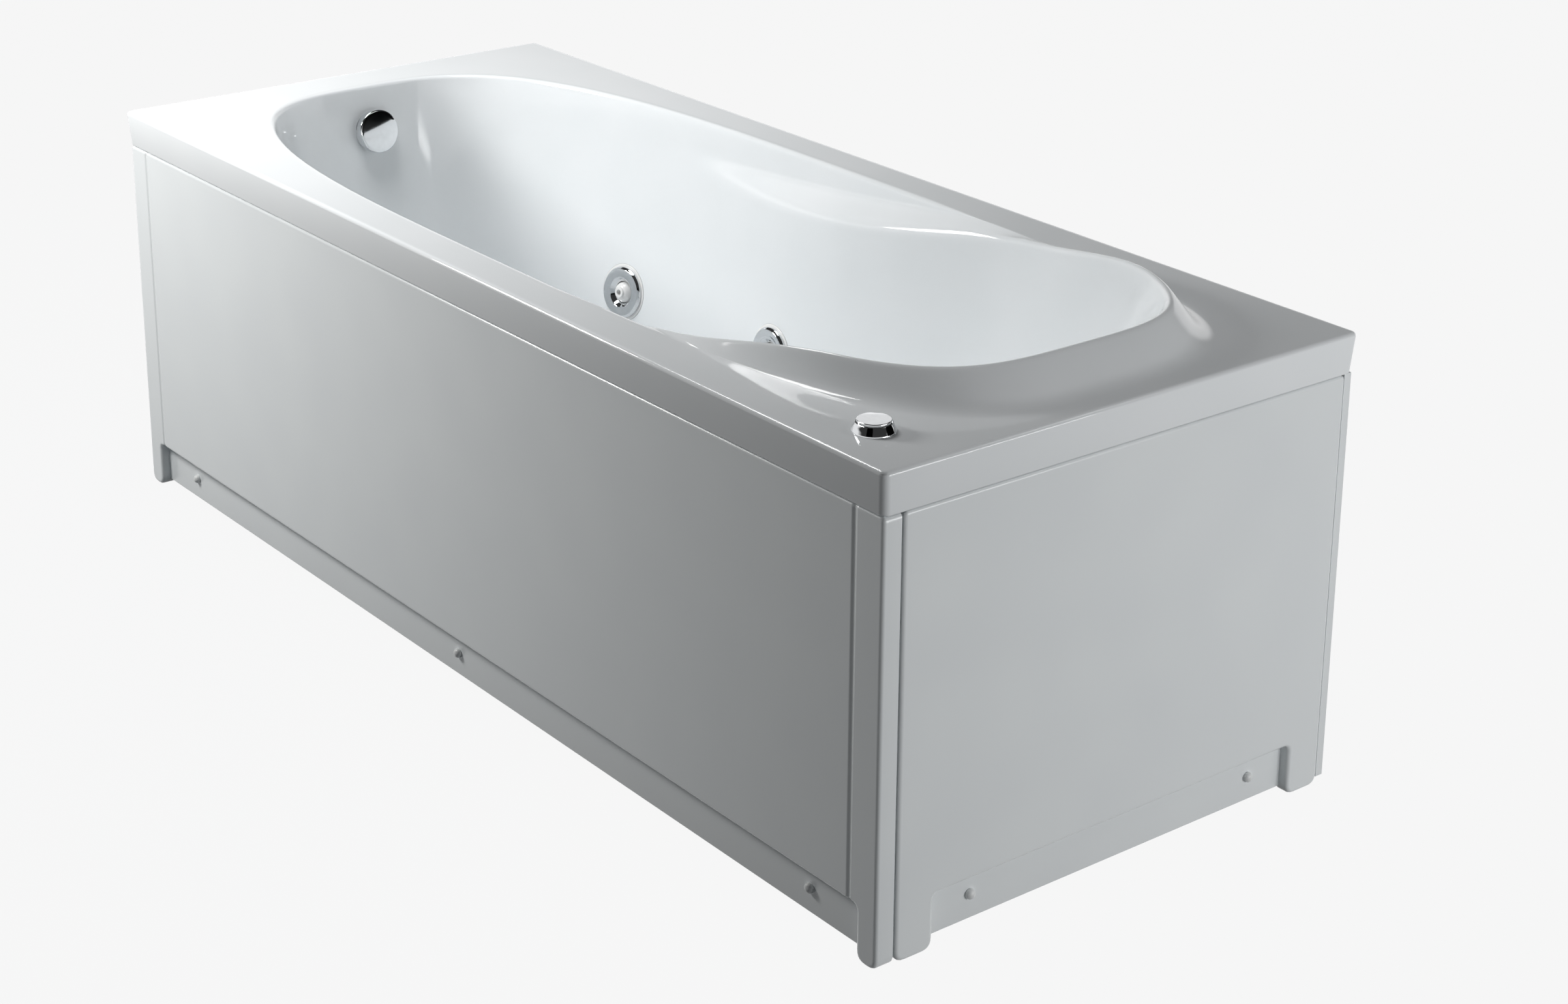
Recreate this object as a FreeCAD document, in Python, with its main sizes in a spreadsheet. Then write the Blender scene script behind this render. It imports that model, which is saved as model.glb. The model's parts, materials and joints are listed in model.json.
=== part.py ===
import FreeCAD, Part
import math
import os
import re
import Sketcher
from FreeCAD import Placement, Rotation, Vector

# Jetted bathtub, 1700 x 700 mm. X runs along the tub from the foot end (drain, -X) to the
# head end (backrest, +X), the long apron panel is on the -Y side, and Z is up from the floor.

driving_sizes = {
    # rim, deck and skirt of the shell
    "TubLength": 1700, "TubWidth": 700, "DeckHeight": 570, "SkirtHeight": 50, "SkirtDraft": 4.57,
    "ShellWall": 6, "RimCorner": 18, "RimEdge": 8,
    # basin opening, walls and floor
    "DeckFoot": 80, "DeckSide": 60, "OpeningRoundness": 3.1, "LipRound": 14,
    "BasinDepth": 420, "FloorInsetFoot": 160, "FloorInsetHead": 330, "FloorInsetSide": 128,
    "FloorRoundness": 2.8, "CoveSize": 72,
    # headrest ridge
    "DeckHead": 42, "RidgeFootRoundness": 3.9, "BackrestInset": 103, "BackrestRoundness": 3.6,
    "RidgeHeight": 46, "RidgeStart": 400, "RidgeRun": 320, "RidgeFootRound": 14,
    "RidgeMargin": 14, "RidgeMarginStart": 150, "RidgeMarginRun": 200, "CrestRound": 14,
    # armrest ledges, which climb from the side walls into the ridge
    "ArmrestStart": -350, "ArmrestRun": 620, "ArmrestDepth": 46, "CreaseRound": 6,
    "CrestStart": -250, "CrestRun": 650, "CrestDepth": 70, "WaistDepth": 34,
    "WaistStart": -380, "WaistMiddle": 40, "WaistEnd": 520,
    # apron panels
    "PanelInset": 4, "PanelSheet": 4, "PanelTopGap": 0.3, "PanelEdge": 5, "CornerWrap": 24,
    "PanelReturn": 6.5, "PanelGap": 3.5, "KickHeight": 66, "KickDepth": 13, "KickLift": 8,
    "FrontKickEnd": 33, "EndKickEnd": 52, "GrooveInset": 46, "GrooveWidth": 7,
    "GrooveDepth": 1.5, "PostInset": 2, "PostWidth": 11, "PostLeg": 32, "PostSheet": 2.5,
    "ScrewHeight": 39, "FrontScrewInset": 130, "EndScrewFront": 146, "EndScrewRear": 122,
    "ScrewCap": 11,
    "ScrewCapHeight": 4, "ScrewShank": 4, "ScrewLength": 4.2,
    # steel frame, base board and feet
    "TubeSize": 25, "TubeWall": 2, "RailInset": 11, "BoardThickness": 15,
    "BoardGap": 90, "BoardLength": 830, "BoardWidth": 300,
    "FootBarInset": 190, "BoardBarFootInset": 90, "MiddleBarInset": 450, "BoardBarHeadInset": 20,
    "PumpBarInset": 210, "UprightFoot": -260, "UprightHead": 300, "UprightInset": 12, "StudDiameter": 12,
    "FootInset": 70,
    "PadDiameter": 44, "PadHeight": 12, "NutWidth": 20, "NutHeight": 9,
    "BracketSheet": 3, "BracketWidth": 30, "BracketBottom": 25, "ClipSheet": 2.7,
    "ClipHeight": 25, "ClipDrop": 5, "ClipWidth": 20,
    # drain with its pop-up plug
    "DrainInset": 330, "DrainHole": 52, "DrainFlange": 84, "DrainFlangeHeight": 3,
    "DrainNeck": 26, "PlugDiameter": 66, "PlugHeight": 5, "StemDiameter": 8,
    "DrainCup": 64, "DrainCupDepth": 88, "PortHeight": 82, "WastePipe": 40, "PipeWall": 2.5,
    "SocketWall": 3, "SocketDepth": 18, "WasteReach": 110, "WasteCollar": 36,
    # overflow with its turning knob
    "OverflowHeight": 503, "OverflowHole": 40, "RosetteDiameter": 58, "RosetteHeight": 4,
    "KnobGap": 4, "KnobDiameter": 64, "KnobDepth": 14, "SpindleDiameter": 10,
    "OverflowPipeInset": 60, "OverflowSocket": 60, "SocketDrop": 73, "ElbowLeg": 60,
    "CableDiameter": 6, "CableRise": 32, "CableY": 30,
    # jets
    "JetHeight": 293, "JetFoot": -430, "JetMiddle": -90, "JetHole": 50, "JetFlange": 84,
    "JetFlangeHeight": 2.5, "JetNeck": 30, "JetCup": 62, "JetRing": 76, "JetRingHeight": 6,
    "JetThroat": 40, "JetSleeve": 20, "NozzleBall": 32, "NozzleTip": 17, "NozzleReach": 15,
    "NozzlePivot": 4,
    "NozzleBore": 8, "SeatDepth": 1, "TeeLength": 80, "SpigotReach": 50, "SpigotGrip": 18,
    # suction fitting and pipes
    "SuctionX": 200, "SuctionHeight": 262, "SuctionHole": 56, "SuctionGrille": 84,
    "GrilleHeight": 7, "SuctionInset": 88, "WaterPipe": 32, "PipeInset": 72,
    "CrossPipeInset": 150, "CrossPipeHeight": 350, "CrossLeg": 60, "RiserStart": 110,
    "RiserRun": 70, "AirPipe": 14, "AirSpigot": 10, "AirHeight": 410, "AirEndInset": 210,
    # air switch on the deck
    "ButtonInsetX": 97, "ButtonInsetY": 67, "BezelDiameter": 48, "BezelHeight": 15,
    "ButtonDiameter": 40, "ButtonRise": 4, "ButtonTravel": 3, "ButtonHole": 30,
    "ButtonNeck": 34, "SwitchTube": 6,
    # pump
    "PumpInset": 115, "PumpAxis": 215, "PumpFront": -145, "VoluteDiameter": 150,
    "VoluteLength": 70, "MotorDiameter": 118, "MotorLength": 190,
    "FanCoverLength": 55, "FanCoverWall": 2, "ShaftDiameter": 14, "ImpellerDiameter": 108,
    "ImpellerWidth": 16, "RotorDiameter": 60, "FanDiameter": 98, "PadThickness": 8,
    "ShelfSheet": 4, "ShelfWidth": 400, "BoxLength": 140, "BoxWidth": 56, "BoxHeight": 78,
    "BoxInset": 350,
    # clearances
    "RunClear": 0.3, "FitClear": 0.15,
}

# Places that follow the shell's length and width.
following_sizes = {
    "OpeningFoot": "TubLength / 2 - DeckFoot", "OpeningHalfWidth": "TubWidth / 2 - DeckSide",
    "FloorFoot": "TubLength / 2 - FloorInsetFoot", "FloorHead": "TubLength / 2 - FloorInsetHead",
    "FloorHalfWidth": "TubWidth / 2 - FloorInsetSide",
    "RidgeFoot": "TubLength / 2 - DeckHead", "BackrestTop": "TubLength / 2 - BackrestInset",
    "FrontScrewSpacing": "TubLength / 2 - FrontScrewInset",
    "EndScrewSpacing": "TubWidth - EndScrewFront - EndScrewRear",
    "DrainX": "DrainInset - TubLength / 2", "OverflowPipeX": "OverflowPipeInset - TubLength / 2",
    "BoardStart": "DrainX + BoardGap", "FootBar": "FootBarInset - TubLength / 2",
    "BoardBarFoot": "BoardStart + BoardBarFootInset", "MiddleBar": "BoardStart + MiddleBarInset",
    "BoardBarHead": "BoardStart + BoardLength - BoardBarHeadInset",
    "PumpBar": "TubLength / 2 - PumpBarInset", "FootSpread": "TubWidth - 2 * FootInset",
    "PipeLine": "TubWidth / 2 - PipeInset", "SuctionLine": "TubWidth / 2 - SuctionInset",
    "CrossPipeX": "TubLength / 2 - CrossPipeInset", "AirEnd": "TubLength / 2 - AirEndInset",
    "ButtonX": "TubLength / 2 - ButtonInsetX", "ButtonY": "ButtonInsetY - TubWidth / 2",
    "PumpX": "TubLength / 2 - PumpInset", "BoxX": "TubLength / 2 - BoxInset",
}

doc = FreeCAD.newDocument("JettedBathtub")
sheet = doc.addObject("Spreadsheet::Sheet", "Sizes")
for row, alias in enumerate(list(driving_sizes) + list(following_sizes), start=1):
    sheet.set("A%d" % row, alias)
    sheet.setAlias("B%d" % row, alias)
    value = following_sizes.get(alias)
    sheet.set("B%d" % row, "=" + value if value else "%g" % driving_sizes[alias])
doc.recompute()

nodes = []
up = Vector(0, 0, 1)


def size(alias):
    return float(sheet.get(alias))


# Heights and planes that several pieces share, as formulas of the driving sizes.
deck_under = "(DeckHeight - ShellWall)"
floor_top = "(DeckHeight - BasinDepth)"
floor_under = "(DeckHeight - BasinDepth - ShellWall)"
rail_top = "(DeckHeight - BasinDepth - ShellWall - BoardThickness)"
rail_bottom = "(DeckHeight - BasinDepth - ShellWall - BoardThickness - TubeSize)"
end_bar_x = "(TubLength / 2 - RailInset - TubeSize / 2)"
panel_top = "(DeckHeight - SkirtHeight - PanelTopGap)"


def bind(item, path, formula):
    # Aliases start with a capital letter; a bare one stands for its cell in the sheet.
    item.setExpression(path, re.sub(r"\b[A-Z]\w+", r"Sizes.\g<0>", formula))


def place(item, x="0", y="0", z="0"):
    for axis, formula in zip("xyz", (x, y, z)):
        bind(item, "Placement.Base." + axis, formula)


def node(item, label):
    item.Label = label
    nodes.append(item)
    return item


def cylinder(name, diameter, height, x, y, z):
    item = doc.addObject("Part::Cylinder", name)
    bind(item, "Radius", "(%s) / 2" % diameter)
    bind(item, "Height", height)
    place(item, x, y, z)
    return item


def union(name, items):
    item = doc.addObject("Part::MultiFuse", name)
    item.Shapes = items
    return item


def cut(name, base, tools):
    item = doc.addObject("Part::Cut", name)
    item.Base = base
    item.Tool = tools[0] if len(tools) == 1 else union(name + "Tools", tools)
    return item


def group(name, items):
    item = doc.addObject("Part::Compound", name)
    item.Links = items
    return item


def outline(body, name, role, corners):
    # A closed sketch outline through corners, each a pair of formulas, on an origin plane.
    sketch = body.newObject("Sketcher::SketchObject", name)
    sketch.AttachmentSupport = (next(f for f in body.Origin.OriginFeatures if f.Role == role), [""])
    sketch.MapMode = "FlatFace"
    count = len(corners)
    turn = 2 * math.pi / count
    ring = [Vector(40 * math.cos(i * turn), 40 * math.sin(i * turn), 0) for i in range(count)]
    sketch.addGeometry([Part.LineSegment(ring[i], ring[(i + 1) % count]) for i in range(count)])
    rules = [Sketcher.Constraint("Coincident", i, 2, (i + 1) % count, 1) for i in range(count)]
    for i, start in enumerate(ring):
        rules.append(Sketcher.Constraint("DistanceX", -1, 1, i, 1, start.x))
        rules.append(Sketcher.Constraint("DistanceY", -1, 1, i, 1, start.y))
    sketch.addConstraint(rules)
    for i, (across, along) in enumerate(corners):
        bind(sketch, "Constraints[%d]" % (count + 2 * i), across)
        bind(sketch, "Constraints[%d]" % (count + 2 * i + 1), along)
    return sketch


def turned(name, corners):
    # A piece turned about its own Z axis; corners are (radius, height) pairs of formulas.
    body = doc.addObject("PartDesign::Body", name)
    feature = body.newObject("PartDesign::Revolution", name + "Turn")
    feature.Profile = outline(body, name + "Outline", "XZ_Plane", corners)
    feature.ReferenceAxis = (feature.Profile[0], ["V_Axis"])
    feature.Angle = 360
    return body


def padded(name, role, corners, length, midplane=False):
    body = doc.addObject("PartDesign::Body", name)
    feature = body.newObject("PartDesign::Pad", name + "Pad")
    feature.Profile = outline(body, name + "Outline", role, corners)
    feature.Midplane = midplane
    bind(feature, "Length", length)
    return body


def rectangle(x0, x1, y0, y1):
    return [(x0, y0), (x1, y0), (x1, y1), (x0, y1)]


def fillet(body, name, radius, wanted):
    # Rounds the edges of the body's last feature that a test picks.
    doc.recompute()
    base = body.Tip
    picked = ["Edge%d" % (i + 1) for i, edge in enumerate(base.Shape.Edges) if wanted(edge)]
    feature = body.newObject("PartDesign::Fillet", name)
    feature.Base = (base, picked)
    bind(feature, "Radius", radius)
    return body


def frame_at(origin, z_axis, x_axis=Vector(1, 0, 0)):
    return Placement(origin, Rotation(x_axis, Vector(), z_axis, "ZXY"))


def pipe(route, outer, bore):
    # A rigid pipe of straight lengths with mitred elbows.
    first = (route[1] - route[0]).normalize()
    path = Part.makePolygon(route)

    def sweep(diameter):
        ring = Part.Wire(Part.makeCircle(diameter / 2, route[0], first))
        return path.makePipeShell([ring], True, False, 1)
    return sweep(outer).cut(sweep(bore))


def hose(route, diameter):
    # A flexible hose or cable: straight runs joined by tangent arcs, eight-sided in section.
    # Each arc is as large as its two runs allow.
    edges = []
    radii = []
    start = route[0]
    for before, here, after in zip(route, route[1:], route[2:]):
        back = (before - here).normalize()
        ahead = (after - here).normalize()
        leg = 0.45 * min((before - here).Length, (after - here).Length)
        bend = leg * math.tan(back.getAngle(ahead) / 2)
        middle = (back + ahead).normalize()
        centre = here + middle * math.hypot(leg, bend)
        edges.append(Part.LineSegment(start, here + back * leg).toShape())
        edges.append(Part.Arc(here + back * leg, centre - middle * bend, here + ahead * leg).toShape())
        radii.append(round(bend))
        start = here + ahead * leg
    edges.append(Part.LineSegment(start, route[-1]).toShape())
    first = (route[1] - route[0]).normalize()
    across = first.cross(Vector(0, 1, 0)).normalize()
    spin = Rotation(first, 45)
    corners = [route[0] + across * (diameter / 2)]
    for _ in range(7):
        across = spin.multVec(across)
        corners.append(route[0] + across * (diameter / 2))
    print("bend radii", radii)
    return Part.Wire(edges).makePipeShell([Part.makePolygon(corners + corners[:1])], True, False)


def solid_feature(name, shape):
    item = doc.addObject("Part::Feature", name)
    item.Shape = shape
    return item


# ------------------------------------------------------------------ the tub shell
# The basin, armrests and headrest are one thermoformed skin. At each station round the
# opening the skin's section is a line with rounded corners: deck, lip, crease, crest,
# wall, cove and floor. The sections change smoothly from the foot end to the head end.

def smooth(value):
    value = min(1.0, max(0.0, value))
    return value * value * (3 - 2 * value)


def rounded_oval(angle, foot, head, half_width, foot_roundness, head_roundness):
    cos, sin = math.cos(angle), math.sin(angle)
    roundness = head_roundness if cos > 0 else foot_roundness
    reach = (abs(cos) ** roundness + abs(sin) ** roundness) ** (-1 / roundness)
    return Vector((head if cos > 0 else foot) * reach * cos, half_width * reach * sin, 0)


def opening_outline(angle):
    return rounded_oval(angle, size("OpeningFoot"), size("RidgeFoot"), size("OpeningHalfWidth"),
                        size("OpeningRoundness"), size("RidgeFootRoundness"))


def section_corners(angle):
    # The four corners of the skin's section at one station, before they are rounded.
    outer = opening_outline(angle)
    inner = rounded_oval(angle, size("OpeningFoot"), size("BackrestTop"), size("OpeningHalfWidth"),
                         size("OpeningRoundness"), size("BackrestRoundness"))
    bottom = rounded_oval(angle, size("FloorFoot"), size("FloorHead"), size("FloorHalfWidth"),
                          size("FloorRoundness"), size("FloorRoundness"))
    x = outer.x
    waist = (size("WaistDepth")
             * smooth((x - size("WaistStart")) / (size("WaistMiddle") - size("WaistStart")))
             * (1 - smooth((x - size("WaistMiddle")) / (size("WaistEnd") - size("WaistMiddle")))))
    inner.y -= waist * math.sin(angle)
    along_armrest = min(1.0, max(0.0, (x - size("ArmrestStart")) / size("ArmrestRun")))
    crease_depth = size("ArmrestDepth") * (1 - along_armrest ** 2)
    along_crest = min(1.0, max(0.0, (x - size("CrestStart")) / size("CrestRun")))
    crest_height = (size("RidgeHeight") * smooth((x - size("RidgeStart")) / size("RidgeRun"))
                    - size("CrestDepth") * (1 - along_crest ** 1.6))
    step = 0.001
    tangent = opening_outline(angle + step) - opening_outline(angle - step)
    outward = Vector(tangent.y, -tangent.x, 0).normalize()
    towards_head = smooth((x - size("RidgeMarginStart")) / size("RidgeMarginRun"))
    deck = up * size("DeckHeight")
    depth = size("BasinDepth")
    lip = outer + outward * size("RidgeMargin") * towards_head + deck
    crease = bottom + (outer - bottom) * (1 - crease_depth / depth) + deck - up * crease_depth
    crest = bottom + (inner - bottom) * (1 + crest_height / depth) + deck + up * crest_height
    return lip, crease, crest, bottom + deck - up * depth, outward, towards_head


def section(angle):
    # The rounded section: for each corner the start, corner and end of its rounding, first
    # on the wetted side and then, one wall further, on the hidden side.
    lip, crease, crest, bottom, outward, towards_head = section_corners(angle)
    corners = [lip, crease, crest, bottom]
    runs = [outward * -1]
    runs += [(corners[i + 1] - corners[i]).normalize() for i in range(3)]
    runs.append(outward * -1)
    normals = [(outward * run.z - up * run.dot(outward)).normalize() for run in runs]
    upper_wall = (crease - lip).Length * 0.45
    ledge = (crest - crease).Length * 0.45
    lip_round = size("LipRound") * (1 - towards_head) + 2 * towards_head
    crease_round = (size("CreaseRound") * (1 - towards_head)
                    + size("RidgeFootRound") * towards_head)
    legs = [(min(lip_round, upper_wall),) * 2,
            (min(crease_round, upper_wall), min(crease_round, ledge)),
            (min(size("CrestRound"), ledge), size("CrestRound")),
            (size("CoveSize"),) * 2]
    wall = size("ShellWall")
    top, under = [], []
    for i, corner in enumerate(corners):
        start = corner - runs[i] * legs[i][0]
        end = corner + runs[i + 1] * legs[i][1]
        mitre = (normals[i] + normals[i + 1]) * (1 / (1 + normals[i].dot(normals[i + 1])))
        top += [start, corner, end]
        under += [start - normals[i] * wall, corner - mitre * wall, end - normals[i + 1] * wall]
    return top, under, outward


stations = 32
face_run = 4
# Flat steps that make up each rounding: lip, crease, crest and cove. A zero keeps the corner.
wetted_steps = (1, 1, 1, 3)
hidden_steps = (0, 0, 0, 3)
wall_steps = 6


def ring_curve(points):
    # A smooth closed curve through one point of every station.
    curve = Part.BSplineCurve()
    curve.interpolate(Points=points, PeriodicFlag=True, Parameters=list(range(len(points) + 1)))
    return curve


def stepped(corners, steps, ledge_steps):
    # One section's points with every rounding taken in steps along its curve.
    points = []
    for i, count in enumerate(steps):
        start, corner, end = corners[3 * i:3 * i + 3]
        straight = {2: ledge_steps, 3: wall_steps}.get(i, 1)
        points += [points[-1] + (start - points[-1]) * (k / straight)
                   for k in range(1, straight)]
        for k in range(count + 1):
            t = k / count if count else 0.5
            points.append(start * (1 - t) ** 2 + corner * (2 * t * (1 - t)) + end * t ** 2
                          if count else corner)
    return points


def ring_wire(curve):
    return Part.Wire([curve.toShape(start, start + face_run)
                      for start in range(0, stations, face_run)])


def band(first, second):
    # The straight-ruled surface between two rings, as one face to every few stations.
    surface = Part.BSplineSurface()
    surface.buildFromPolesMultsKnots(
        [list(pair) for pair in zip(first.getPoles(), second.getPoles())],
        first.getMultiplicities(), [2, 2], first.getKnots(), [0, 1], True, False, first.Degree, 1)
    faces = []
    for start in range(0, stations, face_run):
        piece = surface.copy()
        piece.segment(start, start + face_run, 0, 1)
        faces.append(piece.toShape())
    return faces


def skin():
    sections = [section(2 * math.pi * i / stations) for i in range(stations)]
    faces = []
    margins = []
    for side, steps, drop in ((0, wetted_steps, 0), (1, hidden_steps, size("ShellWall"))):
        lines = [stepped(rows[side], steps, 1 + side) for rows in sections]
        rings = [ring_curve(points) for points in zip(*lines)]
        margin = ring_curve([rows[0][0] + rows[2] * 4 - up * drop for rows in sections])
        for first, second in zip(rings, rings[1:]):
            faces += band(first, second)
        wires = [ring_wire(ring) for ring in (margin, rings[0], rings[-1])]
        faces.append(Part.makeFace(wires[:2], "Part::FaceMakerBullseye"))
        faces.append(Part.Face(wires[2]))
        margins.append(margin)
    faces += band(*margins)
    shell = Part.makeShell(faces)
    shell.sewShape()
    shape = Part.Solid(shell.Shells[0] if shell.ShapeType != "Shell" else shell)
    return shape if shape.Volume > 0 else Part.Solid(shape.Shells[0].reversed())


def deck_hole():
    rows = [section(2 * math.pi * i / stations) for i in range(stations)]
    ring = ring_curve([row[0][0] + row[2] * 2 + up * 20 for row in rows])
    return Part.Face(Part.Wire(ring.toShape())).extrude(up * -60)


def rim_block(name, inset, top, bottom, corner):
    # A block with drafted sides, made along Y and then stood on end.
    body = doc.addObject("PartDesign::Body", name)
    wedge = body.newObject("PartDesign::AdditiveWedge", name + "Wedge")
    height = "(%s - (%s))" % (top, bottom)
    bind(wedge, "Ymin", "0")
    bind(wedge, "Ymax", height)
    for axis, side in (("X", "TubLength"), ("Z", "TubWidth")):
        foot = "(%s / 2 - %s)" % (side, inset)
        head = "(%s - %s * tan(SkirtDraft * 1 deg))" % (foot, height)
        for limit, half in (("", foot), ("2", head)):
            bind(wedge, axis + limit + "min", "-" + half)
            bind(wedge, axis + limit + "max", half)
    fillet(body, name + "Corners", corner, lambda e: abs(e.tangentAt(e.FirstParameter).y) > 0.5)
    body.Placement = Placement(Vector(), Rotation(Vector(1, 0, 0), 90))
    place(body, z=bottom)
    return body


skirt_bottom = "(DeckHeight - SkirtHeight)"
rim_outer = rim_block("RimOuter", "0", "DeckHeight", skirt_bottom, "RimCorner")
fillet(rim_outer, "RimEdges", "RimEdge",
       lambda e: min(v.Y for v in e.Vertexes) > size("SkirtHeight") - 0.01)
rim_inner = rim_block("RimInner", "ShellWall", deck_under, skirt_bottom + " - 1",
                      "RimCorner - ShellWall")
rim = cut("Rim", rim_outer, [rim_inner, solid_feature("DeckHole", deck_hole())])
shell_form = doc.addObject("Part::Fuse", "ShellForm")
shell_form.Base = rim
shell_form.Tool = solid_feature("Skin", skin())
shell_form.Refine = True
doc.recompute()


def wall_point(angle, height):
    _, _, crest, bottom, _, _ = section_corners(angle)
    return bottom + (crest - bottom) * ((height - bottom.z) / (crest.z - bottom.z))


def wall_frame(x, height, side):
    # A frame on the basin wall at one side or, with side 0, at the foot end. Its Z points
    # into the basin and its X runs level along the wall.
    low, high = (0.02, math.pi - 0.02) if side else (math.pi, math.pi)
    while high - low > 1e-7:
        angle = (low + high) / 2
        if wall_point(angle, height).x > x:
            low = angle
        else:
            high = angle
    angle = (low + high) / 2
    spot = wall_point(angle, height)
    along = (wall_point(angle - 0.001, height) - wall_point(angle + 0.001, height)).normalize()
    inward = (wall_point(angle, height + 1) - spot).cross(along).normalize()
    if inward.dot(spot) > 0:
        inward = inward * -1
    if side < 0:
        spot.y, inward.y, along.y = -spot.y, -inward.y, -along.y
    return frame_at(spot, inward, along)


def copies(name, source, frames):
    doc.recompute()
    items = []
    for i, frame in enumerate(frames, start=1):
        item = solid_feature("%s%d" % (name, i), source.Shape.copy())
        item.Placement = frame
        items.append(item)
    return items


def drill(name, diameter, top, bottom):
    radius = "(%s) / 2" % diameter
    return turned(name, [("0", bottom), (radius, bottom), (radius, top), ("0", top)])


def rod(start, axis, diameter, length):
    return Part.makeCylinder(diameter / 2, length, start, axis)


jet_frames = [wall_frame(size(x), size("JetHeight"), side)
              for side in (1, -1) for x in ("JetFoot", "JetMiddle")]
suction_frame = wall_frame(size("SuctionX"), size("SuctionHeight"), -1)
overflow_frame = wall_frame(0, size("OverflowHeight"), 0)
drain_frame = frame_at(Vector(size("DrainX"), 0, size("DeckHeight") - size("BasinDepth")), up)
button_frame = frame_at(Vector(size("ButtonX"), size("ButtonY"), size("DeckHeight")), up)

shell_tools = copies("FittingSeat", drill("SeatTool", "JetFlange + 1", "20", "-SeatDepth"),
                     jet_frames + [suction_frame])
for name, diameter, frames in (("Jet", "JetHole", jet_frames),
                               ("Suction", "SuctionHole", [suction_frame]),
                               ("Overflow", "OverflowHole", [overflow_frame]),
                               ("Drain", "DrainHole", [drain_frame]),
                               ("Button", "ButtonHole", [button_frame])):
    shell_tools += copies(name + "HoleCut", drill(name + "HoleTool", diameter, "3", "-16"), frames)
node(cut("TubShell", shell_form, shell_tools), "tub_shell")


# ------------------------------------------------------------------ apron panels
front_y = "(-TubWidth / 2 + PanelInset)"
end_x = "(TubLength / 2 - PanelInset)"
front_half = "(TubLength / 2 - PanelInset)"
kick_half = "(TubLength / 2 - PanelInset - FrontKickEnd)"


def slab(name, x0, x1, y0, y1, z0, z1):
    # A block between six planes, each a formula.
    item = doc.addObject("Part::Box", name)
    for path, low, high in (("Length", x0, x1), ("Width", y0, y1), ("Height", z0, z1)):
        bind(item, path, "(%s) - (%s)" % (high, low))
    place(item, x0, y0, z0)
    return item


def groove(name, x):
    radius = "(GrooveWidth ^ 2 / 4 + GrooveDepth ^ 2) / (2 * GrooveDepth)"
    return cylinder(name, "2 * (%s)" % radius, panel_top + " + 2", x,
                    "%s - (%s - GrooveDepth)" % (front_y, radius), "-1")


def screw_hole(name, x, y, axis, reach):
    item = cylinder(name, "ScrewShank + 0.6", reach, x, y, "ScrewHeight")
    item.Placement.Rotation = Rotation(up, axis)
    return item


front_outer = padded("FrontPanelBlock", "XY_Plane",
                     rectangle("-" + front_half, front_half, front_y, front_y + " + CornerWrap"),
                     panel_top)
fillet(front_outer, "FrontPanelEdges", "PanelEdge",
       lambda e: abs(e.tangentAt(e.FirstParameter).z) > 0.5
       and e.Vertexes[0].Y < -size("TubWidth") / 2 + size("PanelInset") + 1)
front_back = front_y + " + CornerWrap + 1"
front_hollow = cut("FrontPanelSheet", front_outer, [
    slab("FrontPanelInside", "-%s + PanelSheet" % front_half, "%s - PanelSheet" % front_half,
         front_y + " + PanelSheet", front_back, "-1", panel_top + " - PanelSheet"),
    slab("FrontPanelMouth", "-%s + PanelReturn" % front_half, "%s - PanelReturn" % front_half,
         front_y + " + PanelReturn", front_back, panel_top + " - 2 * PanelSheet",
         panel_top + " + 1")])
front_kick = slab("FrontKickWall", "-%s - PanelSheet" % kick_half, kick_half + " + PanelSheet",
                  front_y + " + PanelSheet / 2", front_y + " + KickDepth + PanelSheet", "0",
                  "KickHeight + PanelSheet")
front_spots = ["-FrontScrewSpacing", "0", "FrontScrewSpacing"]
node(cut("FrontPanel", union("FrontPanelForm", [front_hollow, front_kick]), [
    slab("FrontKickSpace", "-" + kick_half, kick_half, front_y + " - 1", front_y + " + KickDepth",
         "-1", "KickHeight"),
    slab("FrontKickFoot", "-" + kick_half, kick_half, front_y, front_back, "-1", "KickLift"),
    groove("FrontGrooveFoot", "-(TubLength / 2 - PanelInset - GrooveInset)"),
    groove("FrontGrooveHead", "TubLength / 2 - PanelInset - GrooveInset")]
    + [screw_hole("FrontScrewHole%d" % i, x, front_back, Vector(0, -1, 0), "CornerWrap")
       for i, x in enumerate(front_spots)]), "front_panel")

end_front = "(-TubWidth / 2 + PanelInset + CornerWrap + PanelGap)"
end_rear = "(TubWidth / 2 - PostInset - PostWidth - 0.5)"
end_outer = padded("EndPanelBlock", "XY_Plane",
                   rectangle(end_x + " - CornerWrap", end_x, end_front, end_rear), panel_top)
fillet(end_outer, "EndPanelEdges", "PanelEdge / 2",
       lambda e: abs(e.tangentAt(e.FirstParameter).z) > 0.5
       and e.Vertexes[0].X > size("TubLength") / 2 - size("PanelInset") - 1)
end_back = end_x + " - CornerWrap - 1"
end_hollow = cut("EndPanelSheet", end_outer, [
    slab("EndPanelInside", end_back, end_x + " - PanelSheet", end_front + " + PanelSheet",
         end_rear + " - PanelSheet", "-1", panel_top + " - PanelSheet"),
    slab("EndPanelMouth", end_back, end_x + " - PanelReturn", end_front + " - 1",
         end_rear + " + 1", "-1", panel_top + " + 1")])
end_kick = slab("EndKickWall", end_x + " - KickDepth - PanelSheet", end_x + " - PanelSheet / 2",
                end_front + " + EndKickEnd - PanelSheet", end_rear + " - EndKickEnd + PanelSheet",
                "0", "KickHeight + PanelSheet")
end_spots = ["(TubWidth / 2 - EndScrewRear - EndScrewSpacing * %d)" % i for i in (1, 0)]
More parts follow.
